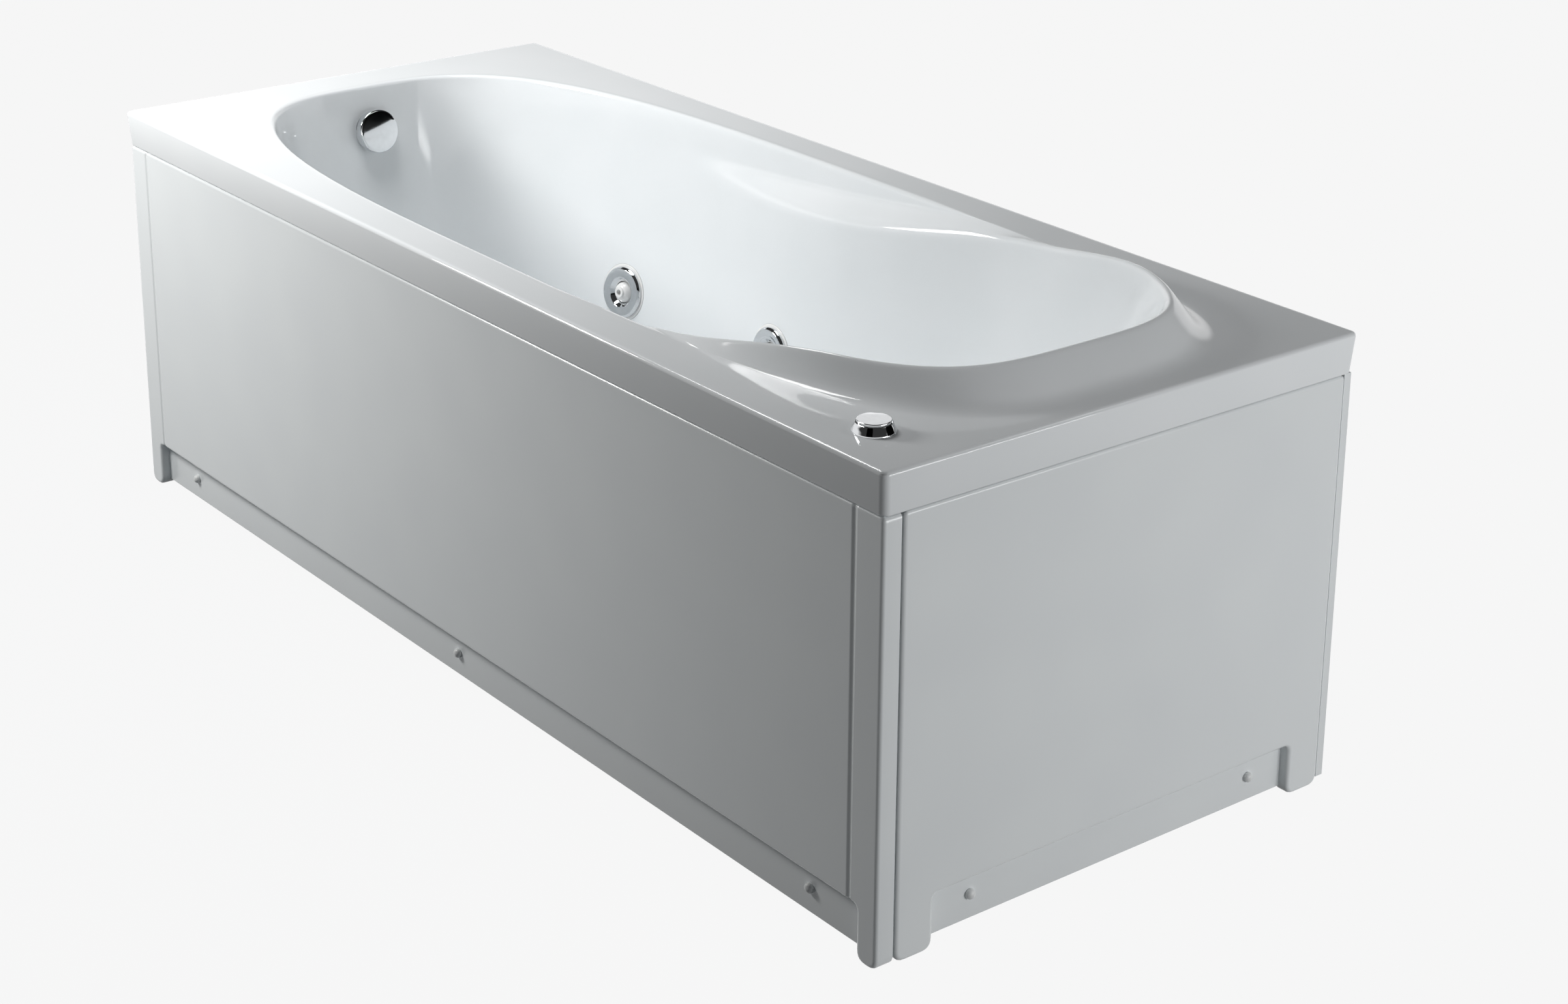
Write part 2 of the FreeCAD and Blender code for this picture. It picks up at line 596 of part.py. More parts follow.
node(cut("EndPanel", union("EndPanelForm", [end_hollow, end_kick]), [
    slab("EndKickSpace", end_x + " - KickDepth", end_x + " + 1", end_front + " + EndKickEnd",
         end_rear + " - EndKickEnd", "-1", "KickHeight"),
    slab("EndKickFoot", end_back, end_x, end_front + " + EndKickEnd", end_rear + " - EndKickEnd",
         "-1", "KickLift")]
    + [screw_hole("EndScrewHole%d" % i, end_back, y, Vector(1, 0, 0), "CornerWrap")
       for i, y in enumerate(end_spots)]), "end_panel")

post_x = "(TubLength / 2 - 6)"
post_y = "(TubWidth / 2 - PostInset)"
node(union("RearCornerPost", [
    slab("PostSide", post_x + " - PostSheet", post_x, post_y + " - PostWidth", post_y,
         "KickLift", panel_top),
    slab("PostBack", post_x + " - PostLeg", post_x, post_y + " - PostSheet", post_y,
         "KickLift", panel_top)]), "rear_corner_post")

screw_form = turned("ScrewForm", [("0", "-ScrewLength"), ("ScrewShank / 2", "-ScrewLength"),
                                  ("ScrewShank / 2", "0"), ("ScrewCap / 2", "0"),
                                  ("ScrewCap / 2", "ScrewCapHeight - 1.5"),
                                  ("0", "ScrewCapHeight")])
front_recess = -size("TubWidth") / 2 + size("PanelInset") + size("KickDepth")
end_recess = size("TubLength") / 2 - size("PanelInset") - size("KickDepth")
spacing = size("FrontScrewSpacing")
node(group("FrontPanelScrews", copies("FrontScrew", screw_form, [
    frame_at(Vector(x, front_recess, size("ScrewHeight")), Vector(0, -1, 0))
    for x in (-spacing, 0, spacing)])), "front_panel_screws")
rear_screw = size("TubWidth") / 2 - size("EndScrewRear")
node(group("EndPanelScrews", copies("EndScrew", screw_form, [
    frame_at(Vector(end_recess, y, size("ScrewHeight")), Vector(1, 0, 0), Vector(0, 1, 0))
    for y in (rear_screw - size("EndScrewSpacing"), rear_screw)])), "end_panel_screws")


# ------------------------------------------------------------------ steel frame and feet
def beam(name, x0, x1, y0, y1, z0, z1, along):
    # A square steel tube between six planes, open at both ends.
    walls = []
    for axis, low, high in (("x", x0, x1), ("y", y0, y1), ("z", z0, z1)):
        shift = " - 1" if axis == along else " + TubeWall"
        back = " + 1" if axis == along else " - TubeWall"
        walls += ["(%s)%s" % (low, shift), "(%s)%s" % (high, back)]
    return cut(name, slab(name + "Solid", x0, x1, y0, y1, z0, z1), [slab(name + "Bore", *walls)])


bar_end = "(TubLength / 2 - RailInset)"
rail_out = "(TubWidth / 2 - RailInset)"
rail_in = "(TubWidth / 2 - RailInset - TubeSize)"
node(beam("RailFront", "-" + bar_end, bar_end, "-" + rail_out, "-" + rail_in,
          rail_bottom, rail_top, "x"), "frame_rail_front")
node(beam("RailBack", "-" + bar_end, bar_end, rail_in, rail_out, rail_bottom, rail_top, "x"),
     "frame_rail_back")
node(group("EndBars", [
    beam("EndBarFoot", "-" + bar_end, "-%s + TubeSize" % bar_end, "-" + rail_in, rail_in,
         rail_bottom, rail_top, "y"),
    beam("EndBarHead", bar_end + " - TubeSize", bar_end, "-" + rail_in, rail_in,
         rail_bottom, rail_top, "y")]), "frame_end_bars")
crossbars = [beam(bar, bar + " - TubeSize / 2", bar + " + TubeSize / 2", "-" + rail_in, rail_in,
                  rail_bottom, rail_top, "y")
             for bar in ("FootBar", "BoardBarFoot", "MiddleBar", "BoardBarHead", "PumpBar")]
node(group("Crossbars", crossbars), "frame_crossbars")
upright_end = "(%s - UprightInset)" % end_bar_x
upright_x = ["-" + upright_end, "UprightFoot", "UprightHead", upright_end]
for side, name in (("-", "front"), ("", "back")):
    low, high = ("-" + rail_out, "-" + rail_in) if side else (rail_in, rail_out)
    node(group("Uprights" + name, [
        beam("Upright%s%d" % (name, i), x + " - TubeSize / 2", x + " + TubeSize / 2", low, high,
             rail_top, deck_under, "z") for i, x in enumerate(upright_x)]),
        "frame_uprights_" + name)

node(slab("BaseBoard", "BoardStart", "BoardStart + BoardLength", "-BoardWidth / 2",
          "BoardWidth / 2", rail_top, floor_under), "base_board")

studs, nuts, pads = [], [], []
for bar in ("FootBar", "MiddleBar", "PumpBar"):
    for side in (-1, 1):
        tag = "%s%d" % (bar, side)
        y = "%d * FootSpread / 2" % side
        studs.append(cylinder("Stud" + tag, "StudDiameter", rail_bottom + " - NutHeight - PadHeight",
                              bar, y, "PadHeight"))
        nut = doc.addObject("Part::Prism", "NutBlock" + tag)
        nut.Polygon = 6
        bind(nut, "Circumradius", "NutWidth / 2 / cos(30 deg)")
        bind(nut, "Height", "NutHeight")
        place(nut, bar, y, rail_bottom + " - NutHeight")
        nuts.append(nut)
        pads.append(cylinder("Pad" + tag, "PadDiameter", "PadHeight", bar, y, "0"))
node(group("Studs", studs), "foot_studs")
node(group("Nuts", nuts), "foot_nuts")
node(group("Pads", pads), "foot_pads")

bracket_y = front_y + " + KickDepth + PanelSheet + RunClear"
bracket_x = end_x + " - KickDepth - PanelSheet - RunClear"
brackets = []
for i, x in enumerate(front_spots):
    sides = (x + " - BracketWidth / 2", x + " + BracketWidth / 2")
    brackets.append(union("FrontBracket%d" % i, [
        slab("FrontBracketPlate%d" % i, *sides, bracket_y, bracket_y + " + BracketSheet",
             "BracketBottom", rail_bottom),
        slab("FrontBracketFlange%d" % i, *sides, "-" + rail_out, bracket_y + " + 1",
             rail_bottom + " - BracketSheet", rail_bottom)]))
for i, y in enumerate(end_spots):
    sides = (y + " - BracketWidth / 2", y + " + BracketWidth / 2")
    brackets.append(union("EndBracket%d" % i, [
        slab("EndBracketPlate%d" % i, bracket_x + " - BracketSheet", bracket_x, *sides,
             "BracketBottom", rail_bottom),
        slab("EndBracketFlange%d" % i, bracket_x + " - 1", bar_end, *sides,
             rail_bottom + " - BracketSheet", rail_bottom)]))
node(group("Brackets", brackets), "panel_brackets")

clip_top = panel_top + " - ClipDrop"
clips = [slab("FrontClip%d" % i, x + " - ClipWidth / 2", x + " + ClipWidth / 2",
              "-%s - ClipSheet" % rail_out, "-" + rail_out, clip_top + " - ClipHeight", clip_top)
         for i, x in enumerate(upright_x)]
clips.append(slab("EndClipFront", bar_end + " - ClipWidth", bar_end + " + ClipSheet",
                  "-" + rail_in, "-%s + ClipSheet" % rail_in, clip_top + " - ClipHeight", clip_top))
clips.append(slab("EndClipRear", bar_end, bar_end + " + ClipSheet", rail_in + " + 2",
                  rail_in + " + ClipWidth - 5", clip_top + " - ClipHeight", clip_top))
for i, z in enumerate((clip_top, rail_top + " + 2 * ClipHeight")):
    clips.append(slab("PostClip%d" % i, bar_end + " - ClipWidth", bar_end, rail_out,
                      post_y + " - PostSheet", z + " - ClipHeight", z))
node(group("Clips", clips), "panel_clips")


# ------------------------------------------------------------------ drain and overflow
drain_neck = "DrainHole / 2 - RunClear"
flange_form = turned("DrainFlangeForm", [
    (drain_neck + " - 2.7", "-DrainNeck"), (drain_neck, "-DrainNeck"), (drain_neck, "0"),
    ("DrainFlange / 2", "0"), ("DrainFlange / 2", "DrainFlangeHeight"),
    (drain_neck + " - 2.7", "DrainFlangeHeight")])
hub = turned("DrainHub", [("StemDiameter / 2 + RunClear", "-22"), ("8", "-22"), ("8", "-14"),
                          ("StemDiameter / 2 + RunClear", "-14")])
doc.recompute()
spokes = []
for i in range(3):
    spoke = Part.makeBox(18, 3, 8, Vector(6.5, -1.5, -22))
    spoke.rotate(Vector(), up, 120 * i)
    spokes.append(spoke)
flange = solid_feature("DrainFlangeBuilt",
                       flange_form.Shape.multiFuse([hub.Shape] + spokes).removeSplitter())
flange.Placement = drain_frame
node(flange, "drain_flange")

plug = turned("DrainPlug", [
    ("0", "-40"), ("StemDiameter / 2", "-40"), ("StemDiameter / 2", "DrainFlangeHeight + RunClear"),
    ("PlugDiameter / 2", "DrainFlangeHeight + RunClear"),
    ("PlugDiameter / 2", "DrainFlangeHeight + PlugHeight"),
    ("0", "DrainFlangeHeight + PlugHeight")])
place(plug, "DrainX", "0", floor_top)
node(plug, "drain_plug")

cup_form = turned("DrainCupForm", [
    ("DrainHole / 2", "-ShellWall - RunClear"), ("45", "-ShellWall - RunClear"),
    ("45", "-ShellWall - RunClear - 4"), ("DrainCup / 2", "-ShellWall - RunClear - 4"),
    ("DrainCup / 2", "-ShellWall - DrainCupDepth"), ("0", "-ShellWall - DrainCupDepth"),
    ("0", "-ShellWall - DrainCupDepth + 3"), ("DrainHole / 2", "-ShellWall - DrainCupDepth + 3")])
doc.recompute()
port = Vector(size("DrainX"), 0, size("PortHeight"))
pipe_socket = size("WastePipe") + 2 * size("FitClear")
socket_outer = pipe_socket + 2 * size("SocketWall")
waste_bore = size("WastePipe") - 2 * size("PipeWall")
cup = cup_form.Shape.copy()
cup.Placement = drain_frame
back = Vector(-1, 0, 0)
side_way = Vector(0, 1, 0)
cable_y = size("CableY")
cup = cup.multiFuse([
    rod(port + back * 28, back, socket_outer, 40),
    rod(port + side_way * 20, side_way, size("WastePipe") + 8, size("WasteCollar") - 20),
    rod(port + side_way * 28, side_way, size("WastePipe"), size("WasteReach") - 28),
    Part.makeBox(22, 12, 12, port + Vector(-32, cable_y - 6, -6))])
cup = cup.cut(rod(port + back * 20, back, waste_bore, 30).multiFuse([
    rod(port + back * 50, back, pipe_socket, 30),
    rod(port + side_way * 20, side_way, waste_bore, size("WasteReach"))]))
hollow = rod(drain_frame.Base - up * (size("ShellWall") + size("DrainCupDepth") - 3), up,
             size("DrainHole"), size("DrainCupDepth"))
node(solid_feature("DrainBody", cup.cut(hollow).removeSplitter()), "drain_body")

pipe_x = size("OverflowPipeX")
socket_foot = size("OverflowHeight") - size("SocketDrop")
node(solid_feature("OverflowPipe", pipe(
    [Vector(pipe_x, 0, socket_foot + size("SocketDepth") + 5),
     Vector(pipe_x, 0, size("PortHeight") + size("ElbowLeg")),
     Vector(pipe_x + size("ElbowLeg"), 0, size("PortHeight")), port + back * 50],
    size("WastePipe"), waste_bore)), "overflow_pipe")
cable_top = Vector(pipe_x, cable_y, socket_foot + size("CableRise"))
cable_foot = Vector(pipe_x, cable_y, size("PortHeight"))
cable_end = port + Vector(-32, cable_y, 0)
drop = (cable_top - cable_foot).Length
run = (cable_end - cable_foot).Length
node(solid_feature("PopupCable", hose(
    [cable_top, cable_foot + up * (0.35 * drop), cable_foot + Vector(1, 0, 0) * (0.35 * run),
     cable_end],
    size("CableDiameter"))), "popup_cable")

back_cup = turned("OverflowCupForm", [
    ("24", "-ShellWall - RunClear"), ("34", "-ShellWall - RunClear"),
    ("34", "-ShellWall - RunClear - 3"), ("28", "-ShellWall - RunClear - 3"), ("28", "-42"),
    ("0", "-42"), ("0", "-39"), ("24", "-39")])
doc.recompute()
cup = back_cup.Shape.copy()
cup.Placement = overflow_frame
foot = Vector(pipe_x, 0, socket_foot)
inner_cup = rod(overflow_frame.multVec(Vector(0, 0, -39)),
                overflow_frame.Rotation.multVec(up), 48, 32)
cup = cup.multiFuse([rod(foot, up, socket_outer, size("OverflowSocket")),
                     Part.makeBox(12, 18, 12, foot + Vector(-6, 18, 32))])
cup = cup.cut(rod(foot - up, up, pipe_socket, 25).multiFuse([
    rod(foot, up, waste_bore, size("OverflowSocket") - 4), inner_cup]))
node(solid_feature("OverflowBody", cup.removeSplitter()), "overflow_body")

rosette_form = turned("RosetteForm", [
    ("SpindleDiameter / 2 + RunClear", "-10"), ("9", "-10"), ("9", "RunClear"),
    ("RosetteDiameter / 2", "RunClear"), ("RosetteDiameter / 2", "RunClear + RosetteHeight"),
    ("SpindleDiameter / 2 + RunClear", "RunClear + RosetteHeight")])
doc.recompute()
slots = []
for i in range(4):
    slot = Part.makeBox(6, 16, 10, Vector(11.5, -8, -2))
    slot.rotate(Vector(), up, 45 + 90 * i)
    slots.append(slot)
rosette = solid_feature("OverflowRosette", rosette_form.Shape.cut(slots))
rosette.Placement = overflow_frame
node(rosette, "overflow_rosette")

knob_back = "RunClear + RosetteHeight + KnobGap"
knob_form = turned("KnobForm", [
    ("0", "-20"), ("SpindleDiameter / 2", "-20"), ("SpindleDiameter / 2", knob_back),
    ("KnobDiameter / 2", knob_back), ("KnobDiameter / 2", knob_back + " + KnobDepth"),
    ("0", knob_back + " + KnobDepth")])
node(copies("OverflowKnob", knob_form, [overflow_frame])[0], "overflow_knob")


# ------------------------------------------------------------------ jets, suction and pipes
sleeve = "JetThroat / 2 + 2"
seat = "JetFlangeHeight - SeatDepth"
ring_under = seat + " + RunClear"
ball_bore = "NozzleBall / 2 + RunClear"
jet_flange_form = turned("JetFlangeForm", [
    (sleeve + " + RunClear", "-JetNeck"), ("JetHole / 2 - RunClear", "-JetNeck"),
    ("JetHole / 2 - RunClear", "-SeatDepth"), ("JetFlange / 2", "-SeatDepth"),
    ("JetFlange / 2", seat), (sleeve + " + RunClear", seat)])
ring_form = turned("JetRingForm", [
    (ball_bore, "-JetSleeve + 6"), (sleeve, "-JetSleeve + 6"), (sleeve, ring_under),
    ("JetRing / 2", ring_under), ("JetRing / 2", ring_under + " + JetRingHeight"),
    (ball_bore, ring_under + " + JetRingHeight")])
nozzle_form = turned("JetNozzleForm", [
    ("NozzleBore / 2", "-NozzlePivot - 4.5"), ("NozzleBall / 2 - 0.4", "-NozzlePivot - 4.5"),
    ("NozzleBall / 2 - 0.4", "-NozzlePivot + 4.5"), ("NozzleTip / 2", "-NozzlePivot + 4.5"),
    ("NozzleTip / 2", "NozzleReach - NozzlePivot"),
    ("NozzleBore / 2", "NozzleReach - NozzlePivot")])
node(group("JetFlanges", copies("JetFlange", jet_flange_form, jet_frames)), "jet_flanges")
for i, ring in enumerate(copies("JetRing", ring_form, jet_frames), start=1):
    node(ring, "jet_ring_%d" % i)
for i, nozzle in enumerate(copies("JetNozzle", nozzle_form, jet_frames), start=1):
    node(nozzle, "jet_nozzle_%d" % i)

half_tee = size("TeeLength") / 2
along = Vector(1, 0, 0)
jet_bodies = []
for i, frame in enumerate(jet_frames, start=1):
    centre = Vector(frame.Base.x, math.copysign(size("PipeLine"), frame.Base.y), size("JetHeight"))
    outwards = frame.Rotation.multVec(up) * -1
    start = frame.Base + outwards * 7.3
    body = rod(start, outwards, size("JetCup"), 32).multiFuse([
        rod(centre - along * half_tee, along, size("WaterPipe") + 8, size("TeeLength")),
        rod(centre, up, size("AirSpigot"), size("SpigotReach"))])
    body = body.cut(rod(start - outwards, outwards, size("JetHole"), 25))
    jet_bodies.append(solid_feature("JetBody%d" % i, body))
node(group("JetBodies", jet_bodies), "jet_bodies")

line = size("PipeLine")
low = size("JetHeight")
high = size("CrossPipeHeight")
cross_x = size("CrossPipeX")
middle = size("JetMiddle") + half_tee
water_bore = size("WaterPipe") - 2 * size("PipeWall")
outlet = Vector(cross_x, size("PumpFront") + size("VoluteLength") / 2, high)
link_start = size("JetFoot") + half_tee
leg_end = line - size("CrossLeg")
for side, name in ((-1, "front"), (1, "back")):
    link = pipe([Vector(link_start, side * line, low),
                 Vector(size("JetMiddle") - half_tee, side * line, low)],
                size("WaterPipe"), water_bore)
    riser = middle + size("RiserStart")
    run = pipe([Vector(middle, side * line, low), Vector(riser, side * line, low),
                Vector(riser + size("RiserRun"), side * line, high),
                Vector(cross_x, side * line, high), Vector(cross_x, side * leg_end, high)],
               size("WaterPipe"), water_bore)
    node(group("WaterPipe" + name, [solid_feature("WaterLink" + name, link),
                                    solid_feature("WaterRun" + name, run)]),
         "water_pipe_" + name)

# The cross pipe has a socket over each run's end and a tee down to the pump.
socket = size("WaterPipe") + 2 * size("FitClear")
cross_start = Vector(cross_x, -leg_end + size("RunClear"), high)
cross_length = 2 * (leg_end - size("RunClear"))
cross = rod(cross_start, side_way, size("WaterPipe"), cross_length).multiFuse([
    rod(cross_start - side_way * size("SocketDepth"), side_way, socket + 2 * size("SocketWall"),
        2 * size("SocketDepth")),
    rod(cross_start + side_way * (cross_length - size("SocketDepth")), side_way,
        socket + 2 * size("SocketWall"), 2 * size("SocketDepth")),
    rod(outlet, up * -1, size("WaterPipe"), 30)])
cross = cross.cut(rod(cross_start - side_way * 30, side_way, water_bore,
                      cross_length + 60).multiFuse([
    rod(cross_start - side_way * 30, side_way, socket, 30),
    rod(cross_start + side_way * cross_length, side_way, socket, 30),
    rod(outlet, up * -1, water_bore, 50)]))
node(solid_feature("WaterPipeCross", cross), "water_pipe_cross")

air_drop = (size("AirHeight") - size("JetHeight") - size("SpigotReach")
            + size("SpigotGrip"))
air_pipes = []
for i, side in enumerate((-1, 1)):
    start = Vector(size("JetFoot") - 10, side * line, size("AirHeight"))
    run = rod(start, along, size("AirPipe"), size("AirEnd") - start.x)
    for x in ("JetFoot", "JetMiddle"):
        top = Vector(size(x), side * line, size("AirHeight"))
        run = run.fuse(rod(top, up * -1, size("AirPipe"), air_drop))
        run = run.cut(rod(top - up * (air_drop + 1), up, size("AirSpigot") + 2 * size("RunClear"),
                          size("SpigotGrip") + 4))
    air_pipes.append(solid_feature("AirPipe%d" % i, run.removeSplitter()))
node(group("AirPipes", air_pipes), "air_pipes")

grille_form = turned("GrilleForm", [
    ("SuctionHole / 2 - RunClear - 3", "-28"), ("SuctionHole / 2 - RunClear", "-28"),
    ("SuctionHole / 2 - RunClear", "-SeatDepth"), ("SuctionGrille / 2", "-SeatDepth"),
    ("SuctionGrille / 2", "GrilleHeight - SeatDepth"),
    ("0", "GrilleHeight - SeatDepth"), ("0", "GrilleHeight - 4"),
    ("SuctionHole / 2 - RunClear - 3", "GrilleHeight - 4")])
doc.recompute()
slots = []
for i in range(-3, 4):
    reach = math.sqrt(23 ** 2 - (i * 6.5) ** 2)
    slots.append(Part.makeBox(2 * reach, 3, 12, Vector(-reach, i * 6.5 - 1.5, 0)))
grille = solid_feature("SuctionGrilleBuilt", grille_form.Shape.cut(slots))
grille.Placement = suction_frame
node(grille, "suction_grille")

suction_out = suction_frame.Rotation.multVec(up) * -1
start = suction_frame.Base + suction_out * 7.3
elbow = Vector(suction_frame.Base.x, -size("SuctionLine"), size("SuctionHeight"))
body = rod(start, suction_out, size("SuctionHole") + 8, 38).fuse(
    rod(elbow, along, socket_outer, 56))
body = body.cut(rod(start - suction_out * 4, suction_out, size("SuctionHole"), 38).multiFuse([
    rod(elbow, along, waste_bore, 60), rod(elbow + along * 36, along, pipe_socket, 30)]))
node(solid_feature("SuctionBody", body.removeSplitter()), "suction_body")

pump_x = size("PumpX")
axis_z = size("PumpAxis")
inlet = size("PumpFront") - 40
node(solid_feature("SuctionPipe", pipe(
    [elbow + along * 37, Vector(pump_x - 215, elbow.y, elbow.z),
     Vector(pump_x - 115, elbow.y, axis_z),
     Vector(pump_x - 30, elbow.y, axis_z), Vector(pump_x, elbow.y + 30, axis_z),
     Vector(pump_x, inlet + 18, axis_z)],
    size("WastePipe"), waste_bore)), "suction_pipe")


# ------------------------------------------------------------------ pump
pump_frame = frame_at(Vector(pump_x, size("PumpFront"), axis_z), Vector(0, 1, 0))
motor_end = "(VoluteLength + MotorLength)"
inlet_bore = "WastePipe / 2 + FitClear"
volute_form = turned("VoluteForm", [
    (inlet_bore, "-40"), (inlet_bore + " + SocketWall", "-40"), (inlet_bore + " + SocketWall", "0"),
    ("VoluteDiameter / 2", "0"), ("VoluteDiameter / 2", "VoluteLength"),
    ("ShaftDiameter / 2 + RunClear", "VoluteLength"), ("ShaftDiameter / 2 + RunClear", "45"),
    ("ImpellerDiameter / 2 + 6", "45"), ("ImpellerDiameter / 2 + 6", "15"), (inlet_bore, "15")])
doc.recompute()
volute = volute_form.Shape.copy()
volute.Placement = pump_frame
neck = Vector(cross_x, outlet.y, axis_z)
chamber = rod(pump_frame.Base + side_way * 15, side_way, size("ImpellerDiameter") + 12, 30)
volute = volute.fuse(rod(neck + up * 40, up, size("WaterPipe") + 8, 65)).cut(
    [chamber, rod(neck + up * 38, up, water_bore, 70)])
node(solid_feature("PumpVolute", volute.removeSplitter()), "pump_volute")

stator_bore = "RotorDiameter / 2 + 1"
shaft_bore = "ShaftDiameter / 2 + RunClear"
motor_form = turned("MotorForm", [
    (shaft_bore, "VoluteLength"), ("MotorDiameter / 2", "VoluteLength"),
    ("MotorDiameter / 2", motor_end), (shaft_bore, motor_end), (shaft_bore, motor_end + " - 10"),
    (stator_bore, motor_end + " - 10"), (stator_bore, "VoluteLength + 10"),
    (shaft_bore, "VoluteLength + 10")])
doc.recompute()
motor = motor_form.Shape.copy()
fins = []
for i in range(14):
    angle = -30 + 240 * i / 13
    fin = Part.makeBox(6, 3, size("MotorLength") - 40,
                       Vector(size("MotorDiameter") / 2 - 1, -1.5, size("VoluteLength") + 20))
    fin.rotate(Vector(), up, -angle)
    fins.append(fin)
motor = motor.multiFuse(fins)
motor.Placement = pump_frame
shelf_top = size("DeckHeight") - size("BasinDepth") - size("ShellWall") - size("BoardThickness")
pad_top = shelf_top + size("ShelfSheet") + size("PadThickness")
saddle = Part.makeBox(90, 150, axis_z - size("MotorDiameter") / 2 + 8 - pad_top,
                      Vector(pump_x - 45, size("PumpFront") + size("VoluteLength") + 20, pad_top))
node(solid_feature("PumpMotor", motor.fuse(saddle).removeSplitter()), "pump_motor")

cover_end = motor_end + " + FanCoverLength"
cover_inner = "MotorDiameter / 2 - FanCoverWall"
cover_form = turned("FanCoverForm", [
    (cover_inner, motor_end), ("MotorDiameter / 2", motor_end), ("MotorDiameter / 2", cover_end),
    ("10", cover_end), ("10", cover_end + " - FanCoverWall"),
    (cover_inner, cover_end + " - FanCoverWall")])
doc.recompute()
slots = []
for i in range(8):
    slot = Part.makeBox(26, 7, 10, Vector(22, -3.5, size("VoluteLength") + size("MotorLength")
                                          + size("FanCoverLength") - 6))
    slot.rotate(Vector(), up, 45 * i)
    slots.append(slot)
cover = solid_feature("PumpFanCover", cover_form.Shape.cut(slots))
cover.Placement = pump_frame
node(cover, "pump_fan_cover")

shaft = "ShaftDiameter / 2"
rotor_form = turned("RotorForm", [
    ("0", "22"), ("ImpellerDiameter / 2", "22"), ("ImpellerDiameter / 2", "22 + ImpellerWidth"),
    (shaft, "22 + ImpellerWidth"), (shaft, "VoluteLength + 30"),
    ("RotorDiameter / 2", "VoluteLength + 30"),
    ("RotorDiameter / 2", motor_end + " - 30"), (shaft, motor_end + " - 30"),
    (shaft, motor_end + " + 15"), ("FanDiameter / 2", motor_end + " + 15"),
    ("FanDiameter / 2", motor_end + " + 25"), (shaft, motor_end + " + 25"),
    (shaft, motor_end + " + 40"), ("0", motor_end + " + 40")])
node(copies("PumpRotor", rotor_form, [pump_frame])[0], "pump_rotor")

shelf = slab("PumpShelf", "PumpBar - TubeSize / 2", bar_end, "-ShelfWidth / 2", "ShelfWidth / 2",
             rail_top, rail_top + " + ShelfSheet")
node(shelf, "pump_shelf")
shelf_z = rail_top + " + ShelfSheet"
node(group("PumpPads", [
    slab("PumpPad%d" % i, "PumpX - 45", "PumpX + 45", y, y + " + 40", shelf_z,
         shelf_z + " + PadThickness")
    for i, y in enumerate(("PumpFront + VoluteLength + 25", "PumpFront + VoluteLength + 125"))]),
    "pump_pads")

box_edge = "-%s" % rail_in
control = padded("ControlBox", "XY_Plane",
                 rectangle("BoxX - BoxLength / 2", "BoxX + BoxLength / 2",
                           box_edge + " + 2", box_edge + " + 2 + BoxWidth"), "BoxHeight")
fillet(control, "ControlBoxEdges", "4",
       lambda e: abs(e.tangentAt(e.FirstParameter).z) > 0.5)
place(control, z=rail_bottom + " + 2")
box_lug = slab("ControlBoxLug", "BoxX - BoxLength / 2 + 20", "BoxX + BoxLength / 2 - 20",
               box_edge, box_edge + " + 8", rail_bottom + " + 2", rail_top)
node(union("ControlBoxBuilt", [control, box_lug]), "control_box")


# ------------------------------------------------------------------ air switch
neck_r = "ButtonHole / 2 - RunClear"
stem_bore = "5 + RunClear"
cap_bore = "ButtonDiameter / 2 + RunClear"
bezel = turned("ButtonBezel", [
    (stem_bore, "-ButtonNeck"), (neck_r, "-ButtonNeck"), (neck_r, "0"), ("BezelDiameter / 2", "0"),
    ("BezelDiameter / 2", "BezelHeight"),
    (cap_bore, "BezelHeight"), (cap_bore, "5"), (stem_bore, "5")])
place(bezel, "ButtonX", "ButtonY", "DeckHeight")
node(bezel, "button_bezel")
cap_under = "5 + ButtonTravel + RunClear"
cap = turned("ButtonCap", [
    ("0", "-24"), ("5", "-24"), ("5", cap_under), ("ButtonDiameter / 2", cap_under),
    ("ButtonDiameter / 2", "BezelHeight + ButtonRise"), ("0", "BezelHeight + ButtonRise")])
place(cap, "ButtonX", "ButtonY", "DeckHeight")
node(cap, "button_cap")
nut = turned("ButtonNut", [
    ("ButtonHole / 2", "-ShellWall - 10"), ("22", "-ShellWall - 10"), ("22", "-ShellWall"),
    ("ButtonHole / 2", "-ShellWall")])
place(nut, "ButtonX", "ButtonY", "DeckHeight")
node(nut, "button_nut")
bellows = turned("ButtonBellows", [
    ("0", "-ButtonNeck - 16"), ("12", "-ButtonNeck - 16"), ("12", "-ButtonNeck"),
    ("0", "-ButtonNeck")])
place(bellows, "ButtonX", "ButtonY", "DeckHeight")
node(bellows, "button_bellows")
hose_x, hose_y = size("ButtonX"), size("ButtonY")
hose_top = size("DeckHeight") - size("ButtonNeck") - 16
node(solid_feature("ButtonHose", hose(
    [Vector(hose_x, hose_y, hose_top), Vector(hose_x, hose_y, hose_top - 60),
     Vector(hose_x + 29, hose_y - 5, 370), Vector(hose_x + 35, hose_y - 7, 280),
     Vector(hose_x + 7, hose_y - 7, 195), Vector(hose_x - 63, hose_y - 4, 155),
     Vector(hose_x - 123, hose_y, 150),
     Vector(size("BoxX") + size("BoxLength") / 2, hose_y, 150)], size("SwitchTube"))),
    "button_hose")

doc.recompute()

problems = [item.Label for item in doc.Objects if {"Invalid", "Error"} & set(item.State)]
for item in nodes:
    if item.Shape.isNull() or not item.Shape.isValid():
        problems.append(item.Label)
if problems:
    raise RuntimeError("not built: " + ", ".join(problems))

os.makedirs("parts", exist_ok=True)
for item in nodes:
    item.Shape.exportStep("parts/%s.step" % item.Label)
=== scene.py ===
import bmesh
import bpy
import json
import math
from mathutils import Matrix, Vector


